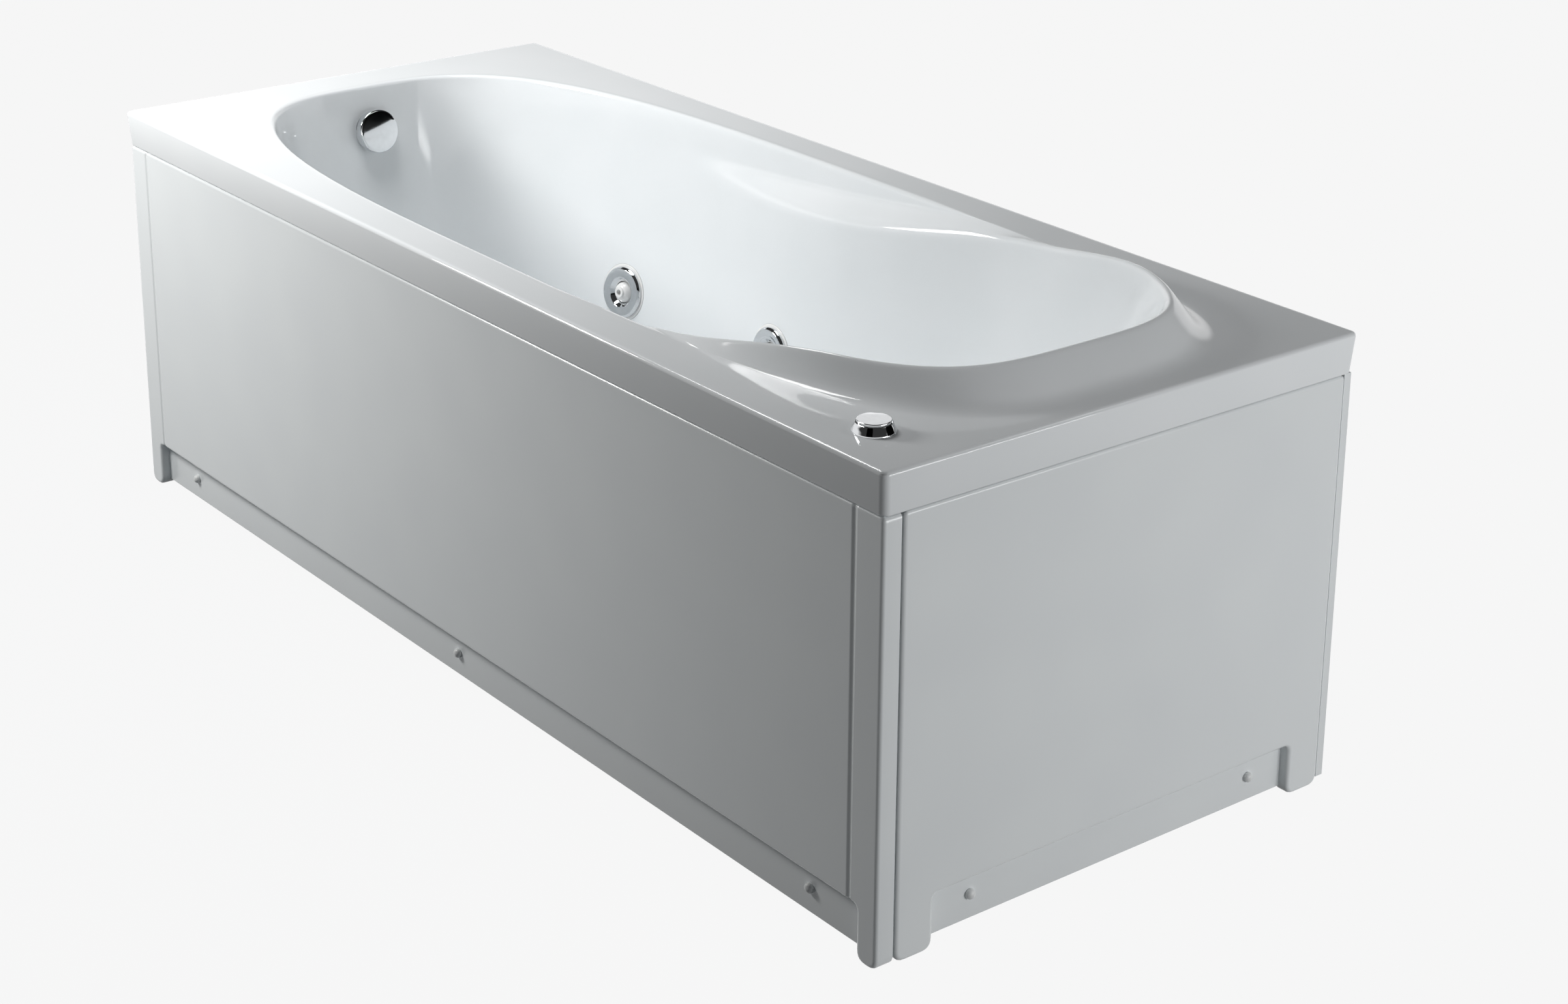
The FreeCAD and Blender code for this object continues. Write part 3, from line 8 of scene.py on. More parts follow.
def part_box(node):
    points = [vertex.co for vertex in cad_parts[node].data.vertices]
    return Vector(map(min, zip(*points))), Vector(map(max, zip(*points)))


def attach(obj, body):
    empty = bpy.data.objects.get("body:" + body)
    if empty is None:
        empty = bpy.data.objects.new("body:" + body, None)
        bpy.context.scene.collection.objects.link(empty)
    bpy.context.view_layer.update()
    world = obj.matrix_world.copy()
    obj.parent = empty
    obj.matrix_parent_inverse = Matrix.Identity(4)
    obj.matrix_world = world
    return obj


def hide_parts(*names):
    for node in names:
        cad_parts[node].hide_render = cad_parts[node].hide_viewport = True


# Jetted bathtub, 1700 x 700 mm: the looks of every piece around the CAD frame. Sizes below
# are in millimetres unless a comment says otherwise; x runs to the head end, -y is the long
# apron side and z is up from the floor.

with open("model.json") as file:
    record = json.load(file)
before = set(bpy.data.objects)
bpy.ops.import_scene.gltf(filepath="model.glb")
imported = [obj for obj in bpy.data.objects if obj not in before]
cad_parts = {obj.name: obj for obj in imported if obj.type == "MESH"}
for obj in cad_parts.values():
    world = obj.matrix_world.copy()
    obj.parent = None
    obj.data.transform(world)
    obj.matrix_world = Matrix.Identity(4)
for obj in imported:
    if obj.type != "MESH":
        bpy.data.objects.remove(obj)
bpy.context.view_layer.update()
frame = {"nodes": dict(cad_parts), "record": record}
nodes = frame["nodes"]
up = Vector((0, 0, 1))
quarterRound = range(0, 91, 15)  # degrees along a rounded edge or corner
print("frame loaded:", len(nodes), "CAD nodes")


# small helpers
def linearColour(hexCode):
    # An sRGB hex value as linear red, green, blue and alpha.
    parts = [int(hexCode[i:i + 2], 16) / 255 for i in (0, 2, 4)]
    return [p / 12.92 if p <= 0.04045 else ((p + 0.055) / 1.055) ** 2.4 for p in parts] + [1.0]


def addNode(material, kind, inputs=None, **settings):
    # Adds one shader node; an input is a value or another node's output socket.
    node = material.node_tree.nodes.new(kind)
    for name, value in settings.items():
        setattr(node, name, value)
    for name, value in (inputs or {}).items():
        if isinstance(value, bpy.types.NodeSocket):
            material.node_tree.links.new(value, node.inputs[name])
        else:
            node.inputs[name].default_value = value
    return node


def newMaterial(name):
    material = bpy.data.materials.new(name)
    material.use_nodes = True
    material.node_tree.nodes.clear()
    return material


def finishMaterial(material, shader):
    addNode(material, "ShaderNodeOutputMaterial", {"Surface": shader.outputs[0]})
    return material


def smooth(value):
    value = min(1.0, max(0.0, value))
    return value * value * (3 - 2 * value)


def smoothUnder(mesh, angle):
    # Smooth shading, with the edges that turn by more than the angle left sharp.
    for edge in mesh.edges:
        edge.smooth = not edge.is_manifold or edge.calc_face_angle(0) < math.radians(angle)
    for face in mesh.faces:
        face.smooth = True


def finishPiece(name, mesh, material, body, replaced=(), angle=35):
    # Turns a bmesh in millimetres into a piece that rides on a body, edges over angle sharp.
    bmesh.ops.remove_doubles(mesh, verts=mesh.verts[:], dist=0.001)
    bmesh.ops.scale(mesh, verts=mesh.verts[:], vec=(0.001, 0.001, 0.001))
    bmesh.ops.recalc_face_normals(mesh, faces=mesh.faces[:])
    smoothUnder(mesh, angle)
    data = bpy.data.meshes.new(name)
    mesh.to_mesh(data)
    mesh.free()
    data.materials.append(material)
    piece = bpy.data.objects.new(name, data)
    bpy.context.scene.collection.objects.link(piece)
    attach(piece, body)
    if replaced:
        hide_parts(*replaced)
    return piece


def turnedForm(profile, places, steps=64):
    # A (radius, height) profile turned round its own z axis and put at each of the places.
    mesh = bmesh.new()
    for place in places:
        points = [mesh.verts.new((radius, 0, height)) for radius, height in profile]
        edges = [mesh.edges.new(pair) for pair in zip(points, points[1:])]
        bmesh.ops.spin(mesh, geom=points + edges, cent=(0, 0, 0), axis=(0, 0, 1),
                       angle=2 * math.pi, steps=steps, use_merge=True)
        turned = [vert for vert in mesh.verts if not vert.tag]
        bmesh.ops.transform(mesh, matrix=place, verts=turned)
        for vert in turned:
            vert.tag = True
    return mesh


def rounded(profile, corners, steps=5):
    # The same profile with some corners rounded: corners maps a point's number to its radius.
    made = []
    for i, point in enumerate(profile):
        here = Vector(point)
        if i not in corners:
            made.append(tuple(here))
            continue
        before = (Vector(profile[i - 1]) - here).normalized() * corners[i]
        after = (Vector(profile[(i + 1) % len(profile)]) - here).normalized() * corners[i]
        for k in range(steps + 1):
            t = k / steps
            made.append(tuple(here + before * (1 - t) ** 2 + after * t ** 2))
    return made


def drawRings(mesh, rings):
    # The first ring is a circle of edges; each next one is extruded from it and placed.
    # Gives back the edges of the first and of the last ring.
    station = mesh.verts.layers.int.get("station") or mesh.verts.layers.int.new("station")
    made = bmesh.ops.create_circle(mesh, segments=len(rings[0]), radius=1)["verts"]
    for number, vert in enumerate(made):
        vert[station] = number
        vert.co = rings[0][number]
    edges = list(dict.fromkeys(edge for vert in made for edge in vert.link_edges))
    first = edges
    for ring in rings[1:]:
        made = bmesh.ops.extrude_edge_only(mesh, edges=edges)["geom"]
        edges = [part for part in made if isinstance(part, bmesh.types.BMEdge)]
        for part in made:
            if isinstance(part, bmesh.types.BMVert):
                part.co = ring[part[station]]
    return first, edges


# materials
acrylicSheet = {"waveSize": 30, "waveDepth": 0.4, "waveStrength": 0.05, "filmSize": 90,
                "glossLow": 0.92, "glossHigh": 1.08, "ior": 1.49}


def makeAcrylic(name, dark, light, roughness):
    # Vacuum-formed sanitary acrylic: deep white gloss with the faint waviness that a heated
    # sheet keeps, waveSize millimetres from crest to crest, and a wiped-down variation in
    # gloss.
    sheet = acrylicSheet
    material = newMaterial(name)
    coords = addNode(material, "ShaderNodeTexCoord")
    film = addNode(material, "ShaderNodeTexNoise",
                   {"Vector": coords.outputs["Object"], "Scale": 1000 / sheet["filmSize"],
                    "Detail": 0.0})
    gloss = addNode(material, "ShaderNodeMapRange",
                    {"Value": film.outputs["Fac"], "From Min": 0.2, "From Max": 0.8,
                     "To Min": roughness * sheet["glossLow"],
                     "To Max": roughness * sheet["glossHigh"]})
    tint = addNode(material, "ShaderNodeMix",
                   {"Factor": film.outputs["Fac"], "A": linearColour(dark),
                    "B": linearColour(light)}, data_type="RGBA")
    wave = addNode(material, "ShaderNodeTexNoise",
                   {"Vector": coords.outputs["Object"], "Scale": 1000 / sheet["waveSize"],
                    "Detail": 1.0})
    bump = addNode(material, "ShaderNodeBump",
                   {"Height": wave.outputs["Fac"], "Strength": sheet["waveStrength"],
                    "Distance": sheet["waveDepth"] / 1000})
    shader = addNode(material, "ShaderNodeBsdfPrincipled",
                     {"Base Color": tint.outputs["Result"],
                      "Roughness": gloss.outputs["Result"], "IOR": sheet["ior"],
                      "Normal": bump.outputs["Normal"]})
    return finishMaterial(material, shader)


def makeChrome(name):
    # Bright chromium plate on brass or ABS: mirror surface, slightly cold, with fine wipe
    # marks that only touch the gloss.
    material = newMaterial(name)
    coords = addNode(material, "ShaderNodeTexCoord")
    marks = addNode(material, "ShaderNodeTexNoise",
                    {"Vector": coords.outputs["Object"], "Scale": 140.0, "Detail": 4.0})
    gloss = addNode(material, "ShaderNodeMapRange",
                    {"Value": marks.outputs["Fac"], "To Min": 0.03, "To Max": 0.075})
    tint = addNode(material, "ShaderNodeValToRGB", {"Fac": marks.outputs["Fac"]})
    tint.color_ramp.elements[0].color = linearColour("D6D8DA")
    tint.color_ramp.elements[1].color = linearColour("E4E6E8")
    shader = addNode(material, "ShaderNodeBsdfPrincipled",
                     {"Base Color": tint.outputs["Color"], "Metallic": 1.0,
                      "Roughness": gloss.outputs["Result"]})
    return finishMaterial(material, shader)


def makePlastic(name, dark, light, roughness, grainSize, depth, ior=1.46):
    # Injection-moulded plastic or rubber: a close even colour with the fine grain of the
    # mould. dark and light are its two shades, grainSize is in millimetres.
    material = newMaterial(name)
    coords = addNode(material, "ShaderNodeTexCoord")
    grain = addNode(material, "ShaderNodeTexNoise",
                    {"Vector": coords.outputs["Object"], "Scale": 1000 / grainSize,
                     "Detail": 2.0})
    cloud = addNode(material, "ShaderNodeTexNoise",
                    {"Vector": coords.outputs["Object"], "Scale": 12.0, "Detail": 3.0})
    tint = addNode(material, "ShaderNodeValToRGB", {"Fac": cloud.outputs["Fac"]})
    tint.color_ramp.elements[0].color = linearColour(dark)
    tint.color_ramp.elements[1].color = linearColour(light)
    tint.color_ramp.elements[0].position = 0.3
    tint.color_ramp.elements[1].position = 0.7
    gloss = addNode(material, "ShaderNodeMapRange",
                    {"Value": grain.outputs["Fac"], "To Min": roughness * 0.8,
                     "To Max": roughness * 1.2})
    bump = addNode(material, "ShaderNodeBump",
                   {"Height": grain.outputs["Fac"], "Strength": 0.4, "Distance": depth / 1000})
    shader = addNode(material, "ShaderNodeBsdfPrincipled",
                     {"Base Color": tint.outputs["Color"], "Roughness": gloss.outputs["Result"],
                      "IOR": ior, "Normal": bump.outputs["Normal"]})
    return finishMaterial(material, shader)


def makeZincSteel(name, dark, light, roughness, spangle):
    # Zinc-coated steel: crystals of slightly different grey, spangle millimetres across,
    # each a little rougher or smoother than its neighbours.
    material = newMaterial(name)
    coords = addNode(material, "ShaderNodeTexCoord")
    crystals = addNode(material, "ShaderNodeTexVoronoi",
                       {"Vector": coords.outputs["Object"], "Scale": 1000 / spangle})
    shade = addNode(material, "ShaderNodeSeparateColor", {"Color": crystals.outputs["Color"]})
    tint = addNode(material, "ShaderNodeValToRGB", {"Fac": shade.outputs["Red"]})
    tint.color_ramp.elements[0].color = linearColour(dark)
    tint.color_ramp.elements[1].color = linearColour(light)
    gloss = addNode(material, "ShaderNodeMapRange",
                    {"Value": shade.outputs["Green"], "To Min": roughness * 0.8,
                     "To Max": roughness * 1.3})
    shader = addNode(material, "ShaderNodeBsdfPrincipled",
                     {"Base Color": tint.outputs["Color"], "Metallic": 1.0,
                      "Roughness": gloss.outputs["Result"]})
    return finishMaterial(material, shader)


def makeChipboard(name):
    # Pressed chipboard under the basin floor: pale flakes 4 to 8 mm long, raw and dry.
    material = newMaterial(name)
    coords = addNode(material, "ShaderNodeTexCoord")
    stretch = addNode(material, "ShaderNodeMapping",
                      {"Vector": coords.outputs["Object"], "Scale": (1.0, 1.8, 3.0)})
    flakes = addNode(material, "ShaderNodeTexVoronoi",
                     {"Vector": stretch.outputs["Vector"], "Scale": 170.0, "Randomness": 1.0})
    shade = addNode(material, "ShaderNodeSeparateColor", {"Color": flakes.outputs["Color"]})
    tint = addNode(material, "ShaderNodeValToRGB", {"Fac": shade.outputs["Red"]})
    tint.color_ramp.elements[0].color = linearColour("9C7B52")
    tint.color_ramp.elements[1].color = linearColour("D9BE92")
    bump = addNode(material, "ShaderNodeBump",
                   {"Height": flakes.outputs["Distance"], "Strength": 0.5, "Distance": 0.0006})
    shader = addNode(material, "ShaderNodeBsdfPrincipled",
                     {"Base Color": tint.outputs["Color"], "Roughness": 0.82,
                      "Normal": bump.outputs["Normal"]})
    return finishMaterial(material, shader)


tubAcrylic = makeAcrylic("vacuumFormedAcrylic", "EDF1F3", "F2F5F7", 0.07)
panelAcrylic = makeAcrylic("satinAcrylicPanel", "E8ECEE", "EDF1F2", 0.22)
chrome = makeChrome("brightChromePlate")
materials = {
    "acrylic": tubAcrylic,
    "panel_acrylic": panelAcrylic,
    "screw_cap": makePlastic("mouldedPolyethyleneCap", "E4E6E6", "EEF0F0", 0.32, 1.5, 0.03),
    "galvanised": makeZincSteel("galvanisedSteelTube", "8E9498", "B4BABD", 0.38, 9),
    "zinc": makeZincSteel("zincPlatedSteel", "A9ABA6", "C6C7C0", 0.24, 2.5),
    "rubber": makePlastic("mouldedRubber", "1B1B1C", "262627", 0.72, 1.2, 0.12, 1.52),
    "board": makeChipboard("rawChipboard"),
    "chrome": chrome,
    "button_chrome": chrome,
    "nozzle": makePlastic("mouldedWhiteAcetal", "EDEEEE", "F6F6F5", 0.22, 1.0, 0.02, 1.48),
    "pvc": makePlastic("extrudedWhitePVC", "D9DBD8", "E6E7E4", 0.30, 2.0, 0.04, 1.54),
    "vinyl": makePlastic("softClearVinyl", "C4CACA", "D6DBDA", 0.20, 3.0, 0.05, 1.53),
    "cable": makePlastic("cableSheath", "2B2D2F", "3A3C3E", 0.45, 1.0, 0.05),
    "pump_plastic": makePlastic("glassFilledPolypropylene", "23262A", "2F3337", 0.48, 0.9, 0.10),
    "motor": makePlastic("powderCoatedAluminium", "30353B", "3E444B", 0.42, 1.1, 0.12),
    "rotor": makeZincSteel("turnedSteelShaft", "8A8C8E", "A9ABAD", 0.28, 3),
    "box_plastic": makePlastic("mouldedABSBox", "D2D4D3", "DDDFDE", 0.36, 0.9, 0.06, 1.54),
}
slotOfNode = {}
for entry in frame["record"]["materials"]:
    for member in entry.get("nodes", []):
        slotOfNode[member] = entry["slot"]
for name, item in nodes.items():
    slot = slotOfNode.get(name) or item.data.materials[0].name.split(".")[0]
    slotOfNode[name] = slot
    item.data.materials[0] = materials[slot]
print("materials made and given to every CAD node")


# tub shell
shell = {  # footRound is how far the skirt's foot draws in and rises, point by point
    "length": 1700, "width": 700, "deck": 570, "skirt": 50, "draft": 3, "wall": 6,
    "rimCorner": 9, "rimEdge": 5, "innerCorner": 5,
    "footRound": ((0, 2.5), (0.5, 0.9), (1.6, 0.1), (2.6, 0)),
    "openingFoot": 770, "openingHalfWidth": 290, "openingRoundness": 3.1,
    "lipRound": 6, "lipRoundHead": 2,
    "basinDepth": 420, "floorFoot": 690, "floorHead": 520, "floorHalfWidth": 222,
    "floorRoundness": 2.8, "floorCentre": -60, "floorRings": (0.06, 0.35, 0.7, 0.92),
    "cove": 72,
    "ridgeFoot": 808, "ridgeFootRoundness": 3.9, "backrestTop": 737, "backrestRoundness": 3.6,
    "ridgeHeight": 41.8, "ridgeStart": 360, "ridgeRun": 320, "ridgeFootRound": 22,
    "ridgeMargin": 28, "ridgeMarginStart": 480, "ridgeMarginRun": 240, "crestRound": 14,
    "armrestStart": -350, "armrestRun": 620, "armrestDepth": 46, "creaseRound": 6,
    "armrestPower": 2, "crestStart": -250, "crestRun": 650, "crestDepth": 70,
    "crestPower": 1.6,
    "waistDepth": 34, "waistStart": -380, "waistMiddle": 40, "waistEnd": 520,
    "crestInset": 16, "crestInsetStart": 320, "crestInsetRun": 260,
    "stations": 176, "deckRing": 3, "roundShare": 0.45,
    "arcSteps": (5, 5, 6, 9), "straightSteps": (1, 1, 2, 6),
}


def oval(angle, foot, head, halfWidth, footRoundness, headRoundness):
    across, along = math.sin(angle), math.cos(angle)
    power = headRoundness if along > 0 else footRoundness
    reach = (abs(along) ** power + abs(across) ** power) ** (-1 / power)
    return Vector(((head if along > 0 else foot) * reach * along, halfWidth * reach * across, 0))


def openingEdge(angle):
    return oval(angle, shell["openingFoot"], shell["ridgeFoot"], shell["openingHalfWidth"],
                shell["openingRoundness"], shell["ridgeFootRoundness"])


def shellCorners(angle):
    # The lip, crease, crest and floor edge of the basin's section at one station.
    outer = openingEdge(angle)
    inner = oval(angle, shell["openingFoot"], shell["backrestTop"], shell["openingHalfWidth"],
                 shell["openingRoundness"], shell["backrestRoundness"])
    bottom = oval(angle, shell["floorFoot"], shell["floorHead"], shell["floorHalfWidth"],
                  shell["floorRoundness"], shell["floorRoundness"])
    x = outer.x
    waist = (shell["waistDepth"]
             * smooth((x - shell["waistStart"]) / (shell["waistMiddle"] - shell["waistStart"]))
             * (1 - smooth((x - shell["waistMiddle"])
                           / (shell["waistEnd"] - shell["waistMiddle"]))))
    waist += shell["crestInset"] * smooth((x - shell["crestInsetStart"])
                                          / shell["crestInsetRun"])
    inner.y -= waist * math.sin(angle)
    armrest = min(1.0, max(0.0, (x - shell["armrestStart"]) / shell["armrestRun"]))
    creaseDepth = shell["armrestDepth"] * (1 - armrest ** shell["armrestPower"])
    crestAlong = min(1.0, max(0.0, (x - shell["crestStart"]) / shell["crestRun"]))
    crestHeight = (shell["ridgeHeight"] * smooth((x - shell["ridgeStart"]) / shell["ridgeRun"])
                   - shell["crestDepth"] * (1 - crestAlong ** shell["crestPower"]))
    tangent = openingEdge(angle + 0.001) - openingEdge(angle - 0.001)
    outward = Vector((tangent.y, -tangent.x, 0)).normalized()
    towardsHead = smooth((x - shell["ridgeMarginStart"]) / shell["ridgeMarginRun"])
    deck = up * shell["deck"]
    depth = shell["basinDepth"]
    lip = outer + outward * shell["ridgeMargin"] * towardsHead + deck
    crease = bottom + (outer - bottom) * (1 - creaseDepth / depth) + deck - up * creaseDepth
    crest = bottom + (inner - bottom) * (1 + crestHeight / depth) + deck + up * crestHeight
    return [lip, crease, crest, bottom + deck - up * depth], outward, towardsHead


def shellSection(angle):
    # Points down the wetted side at one station, from the deck to the flat of the floor.
    corners, outward, towardsHead = shellCorners(angle)
    lip, crease, crest, bottom = corners
    runs = [-outward] + [(corners[i + 1] - corners[i]).normalized() for i in range(3)]
    runs.append(-outward)
    upperWall = (crease - lip).length * shell["roundShare"]
    ledge = (crest - crease).length * shell["roundShare"]
    lipRound = (shell["lipRound"] * (1 - towardsHead)
                + shell["lipRoundHead"] * towardsHead)
    creaseRound = (shell["creaseRound"] * (1 - towardsHead)
                   + shell["ridgeFootRound"] * towardsHead)
    legs = [(min(lipRound, upperWall),) * 2,
            (min(creaseRound, upperWall), min(creaseRound, ledge)),
            (min(shell["crestRound"], ledge), shell["crestRound"]),
            (shell["cove"],) * 2]
    points = [lip + outward * shell["deckRing"]]
    for i, (steps, straight) in enumerate(zip(shell["arcSteps"], shell["straightSteps"])):
        start = corners[i] - runs[i] * legs[i][0]
        end = corners[i] + runs[i + 1] * legs[i][1]
        last = points[-1]
        points += [last.lerp(start, k / straight) for k in range(1, straight)]
        for k in range(steps + 1):
            t = k / steps
            points.append(start * (1 - t) ** 2 + corners[i] * (2 * t * (1 - t)) + end * t ** 2)
    points[0] = points[1] + outward * shell["deckRing"]
    floorEdge = points[-1]
    centre = Vector((shell["floorCentre"], 0, floorEdge.z))
    points += [floorEdge.lerp(centre, share) for share in shell["floorRings"]]
    return points


def rimOutline(inset, height, corner):
    # The rounded rectangle of the rim, a list of points anticlockwise from the head end.
    halfLength = shell["length"] / 2 - inset
    halfWidth = shell["width"] / 2 - inset
    points = []
    for quarter in range(4):
        sideX = (1, -1, -1, 1)[quarter]
        sideY = (1, 1, -1, -1)[quarter]
        for degrees in quarterRound:
            turn = math.radians(90 * quarter + degrees)
            points.append(Vector((sideX * (halfLength - corner) + corner * math.cos(turn),
                                  sideY * (halfWidth - corner) + corner * math.sin(turn),
                                  height)))
    return points


def makeTubShell():
    mesh = bmesh.new()
    count = shell["stations"]
    sections = [shellSection(2 * math.pi * i / count) for i in range(count)]
    basinEdge, floorEdge = drawRings(mesh, [list(ring) for ring in zip(*sections)])
    bmesh.ops.holes_fill(mesh, edges=floorEdge, sides=count)

    edgeRound, corner = shell["rimEdge"], shell["rimCorner"]
    rims = [rimOutline(edgeRound + shell["deckRing"], shell["deck"], shell["innerCorner"])]
    for degrees in quarterRound:
        turn = math.radians(degrees)
        inset = edgeRound * (1 - math.sin(turn))
        rims.append(rimOutline(inset, shell["deck"] - edgeRound * (1 - math.cos(turn)),
                               corner - inset))
    skirtEnd = shell["deck"] - shell["skirt"]
    for lean, rise in shell["footRound"]:
        rims.append(rimOutline(shell["draft"] + lean, skirtEnd + rise, corner))
    deckEdge, _ = drawRings(mesh, rims)
    bmesh.ops.triangle_fill(mesh, edges=basinEdge + deckEdge, use_beauty=True, normal=up)
    bmesh.ops.recalc_face_normals(mesh, faces=mesh.faces[:])
    mesh.faces.ensure_lookup_table()
    deckFace = max(mesh.faces, key=lambda face: face.calc_center_median().z)
    if deckFace.normal.z < 0:
        bmesh.ops.reverse_faces(mesh, faces=mesh.faces[:])
    return mesh


# places of the fittings
fittings = {  # jetHole to buttonHole are diameters
    "jetHeight": 293, "jetAlong": (-430, -90), "suction": (200, 262), "overflowHeight": 503,
    "drain": (-520, 0, 150), "button": (753, -283, 570), "seatRadius": 42.5, "seatDepth": 1,
    "jetHole": 50, "suctionHole": 56, "overflowHole": 40, "drainHole": 52, "buttonHole": 30,
    "holeDepth": 16, "holeRise": 3, "seatRise": 20,
}


def wallPoint(angle, height):
    crest, bottom = shellCorners(angle)[0][2:]
    return bottom + (crest - bottom) * ((height - bottom.z) / (crest.z - bottom.z))


def facing(spot, inward, along):
    # A place whose z is inward and whose x is along.
    turned = Matrix((along, inward.cross(along), inward)).transposed().to_4x4()
    return Matrix.Translation(spot) @ turned


def wallPlace(x, height, side):
    # A fitting's place on the basin wall at one side, or at the foot end where side is 0.
    low, high = (0.02, math.pi - 0.02) if side else (math.pi, math.pi)
    while high - low > 1e-7:
        middle = (low + high) / 2
        if wallPoint(middle, height).x > x:
            low = middle
        else:
            high = middle
    angle = (low + high) / 2
    spot = wallPoint(angle, height)
    along = (wallPoint(angle - 0.001, height) - wallPoint(angle + 0.001, height)).normalized()
    inward = (wallPoint(angle, height + 1) - spot).cross(along).normalized()
    if inward.dot(spot) > 0:
        inward = -inward
    if side < 0:
        spot.y, inward.y, along.y = -spot.y, -inward.y, -along.y
    return facing(spot, inward, along)


jetPlaces = [wallPlace(x, fittings["jetHeight"], side)
             for side in (1, -1) for x in fittings["jetAlong"]]
suctionPlace = wallPlace(*fittings["suction"], -1)
overflowPlace = wallPlace(0, fittings["overflowHeight"], 0)
drainPlace = Matrix.Translation(fittings["drain"])
buttonPlace = Matrix.Translation(fittings["button"])


def cutHoles(piece):
    # Drills the seats and holes of the fittings through the finished sheet.
    tool = bmesh.new()
    drills = [(place, fittings["seatRadius"], -fittings["seatDepth"], fittings["seatRise"])
              for place in jetPlaces + [suctionPlace]]
    for kind, places in (("jetHole", jetPlaces), ("suctionHole", [suctionPlace]),
                         ("overflowHole", [overflowPlace]), ("drainHole", [drainPlace]),
                         ("buttonHole", [buttonPlace])):
        drills += [(place, fittings[kind] / 2, -fittings["holeDepth"], fittings["holeRise"])
                   for place in places]
    for place, radius, low, high in drills:
        bmesh.ops.create_cone(tool, cap_ends=True, segments=64, radius1=radius, radius2=radius,
                              depth=high - low,
                              matrix=place @ Matrix.Translation((0, 0, (high + low) / 2)))
    bmesh.ops.scale(tool, verts=tool.verts[:], vec=(0.001, 0.001, 0.001))
    bmesh.ops.recalc_face_normals(tool, faces=tool.faces[:])
    toolData = bpy.data.meshes.new("holeDrills")
    tool.to_mesh(toolData)
    tool.free()
    drill = bpy.data.objects.new("holeDrills", toolData)
    bpy.context.scene.collection.objects.link(drill)
    drilling = piece.modifiers.new("holes", "BOOLEAN")
    drilling.operation = "DIFFERENCE"
    drilling.solver = "EXACT"
    drilling.use_self = True
    drilling.object = drill
    graph = bpy.context.evaluated_depsgraph_get()
    drilled = bpy.data.meshes.new_from_object(piece.evaluated_get(graph))
    piece.modifiers.clear()
    mesh = bmesh.new()
    mesh.from_mesh(drilled)
    smoothUnder(mesh, 40)
    mesh.to_mesh(drilled)
    mesh.free()
    piece.data = drilled
    bpy.data.objects.remove(drill)


tubShell = finishPiece("tubShell", makeTubShell(), tubAcrylic, "tub", ["tub_shell"],
                       angle=50)
thickness = tubShell.modifiers.new("sheetThickness", "SOLIDIFY")
thickness.thickness = shell["wall"] / 1000
thickness.offset = -1
cutHoles(tubShell)
print("tub shell formed and drilled")


# jets
jet = {  # millimetres from the wall's face
    "flangeRadius": 42, "flangeHeight": 1.5, "flangeEdge": 1.2, "sleeve": 22.4,
    "neck": 24.6, "neckDepth": 29,
    "ringRadius": 38, "ringLow": 1.8, "ringHigh": 7.8, "ringNeck": 22, "bore": 16.4,
    "sleeveDepth": 14, "bevelDrop": 3.2, "bevelWidth": 3.4, "faceWidth": 4.4,
    "faceDrop": 0.5, "throat": 22.4, "throatDrop": 6.5, "ringEdge": 1.2, "bevelEdge": 0.9,
    "throatEdge": 1.4,
    "ball": 15.9, "pivot": -4, "ballFoot": -8.4, "ballCrown": 47, "spout": 8.4,
    "spoutFoot": 8.0, "spoutFlare": 0.8, "spoutStep": 8.6, "spoutTaper": 0.6,
    "spoutEnd": 11, "nozzleBore": 4, "boreFlare": 0.2, "boreFlareEnd": 9.4,
}


def makeJets():
    low, rim = -fittings["seatDepth"], jet["flangeRadius"]
    flange = rounded([(jet["sleeve"], -jet["neckDepth"]), (jet["neck"], -jet["neckDepth"]),
                      (jet["neck"], low), (rim, low), (rim, jet["flangeHeight"]),
                      (jet["sleeve"], jet["flangeHeight"]), (jet["sleeve"], -jet["neckDepth"])],
                     {4: jet["flangeEdge"]})
    finishPiece("jetFlanges", turnedForm(flange, jetPlaces), materials["nozzle"], "tub",
                ["jet_flanges"])
    high, edge = jet["ringHigh"], jet["ringRadius"]
    face = high - jet["faceDrop"]
    ring = rounded([(jet["bore"], -jet["sleeveDepth"]), (jet["ringNeck"], -jet["sleeveDepth"]),
                    (jet["ringNeck"], jet["ringLow"]), (edge, jet["ringLow"]),
                    (edge, high - jet["bevelDrop"]), (edge - jet["bevelWidth"], high),
                    (edge - jet["faceWidth"], face), (jet["throat"], face),
                    (jet["bore"], high - jet["throatDrop"]),
                    (jet["bore"], -jet["sleeveDepth"])],
                   {4: jet["ringEdge"], 5: jet["bevelEdge"], 7: jet["throatEdge"]})
    ball, pivot = jet["ball"], jet["pivot"]
    foot = math.asin((jet["ballFoot"] - pivot) / ball)
    crown = math.radians(jet["ballCrown"])
    profile = [(jet["nozzleBore"], jet["ballFoot"])]
    for k in range(13):
        turn = foot + (crown - foot) * k / 12
        profile.append((ball * math.cos(turn), pivot + ball * math.sin(turn)))
    profile += rounded([(jet["spout"] + jet["spoutFlare"], jet["spoutFoot"]),
                        (jet["spout"], jet["spoutStep"]),
                        (jet["spout"] - jet["spoutTaper"], jet["spoutEnd"]),
                        (jet["nozzleBore"] + jet["boreFlare"], jet["spoutEnd"]),
                        (jet["nozzleBore"], jet["boreFlareEnd"]),
                        (jet["nozzleBore"], jet["ballFoot"])],
                       {1: 0.5, 2: 0.9, 3: 0.4})
    for number, place in enumerate(jetPlaces, start=1):
        finishPiece("jetRing%d" % number, turnedForm(ring, [place], 96), chrome,
                    "jet_ring_%d" % number, ["jet_ring_%d" % number], angle=28)
        finishPiece("jetNozzle%d" % number, turnedForm(profile, [place]), materials["nozzle"],
                    "jet_nozzle_%d" % number, ["jet_nozzle_%d" % number])


makeJets()
print("jets made")


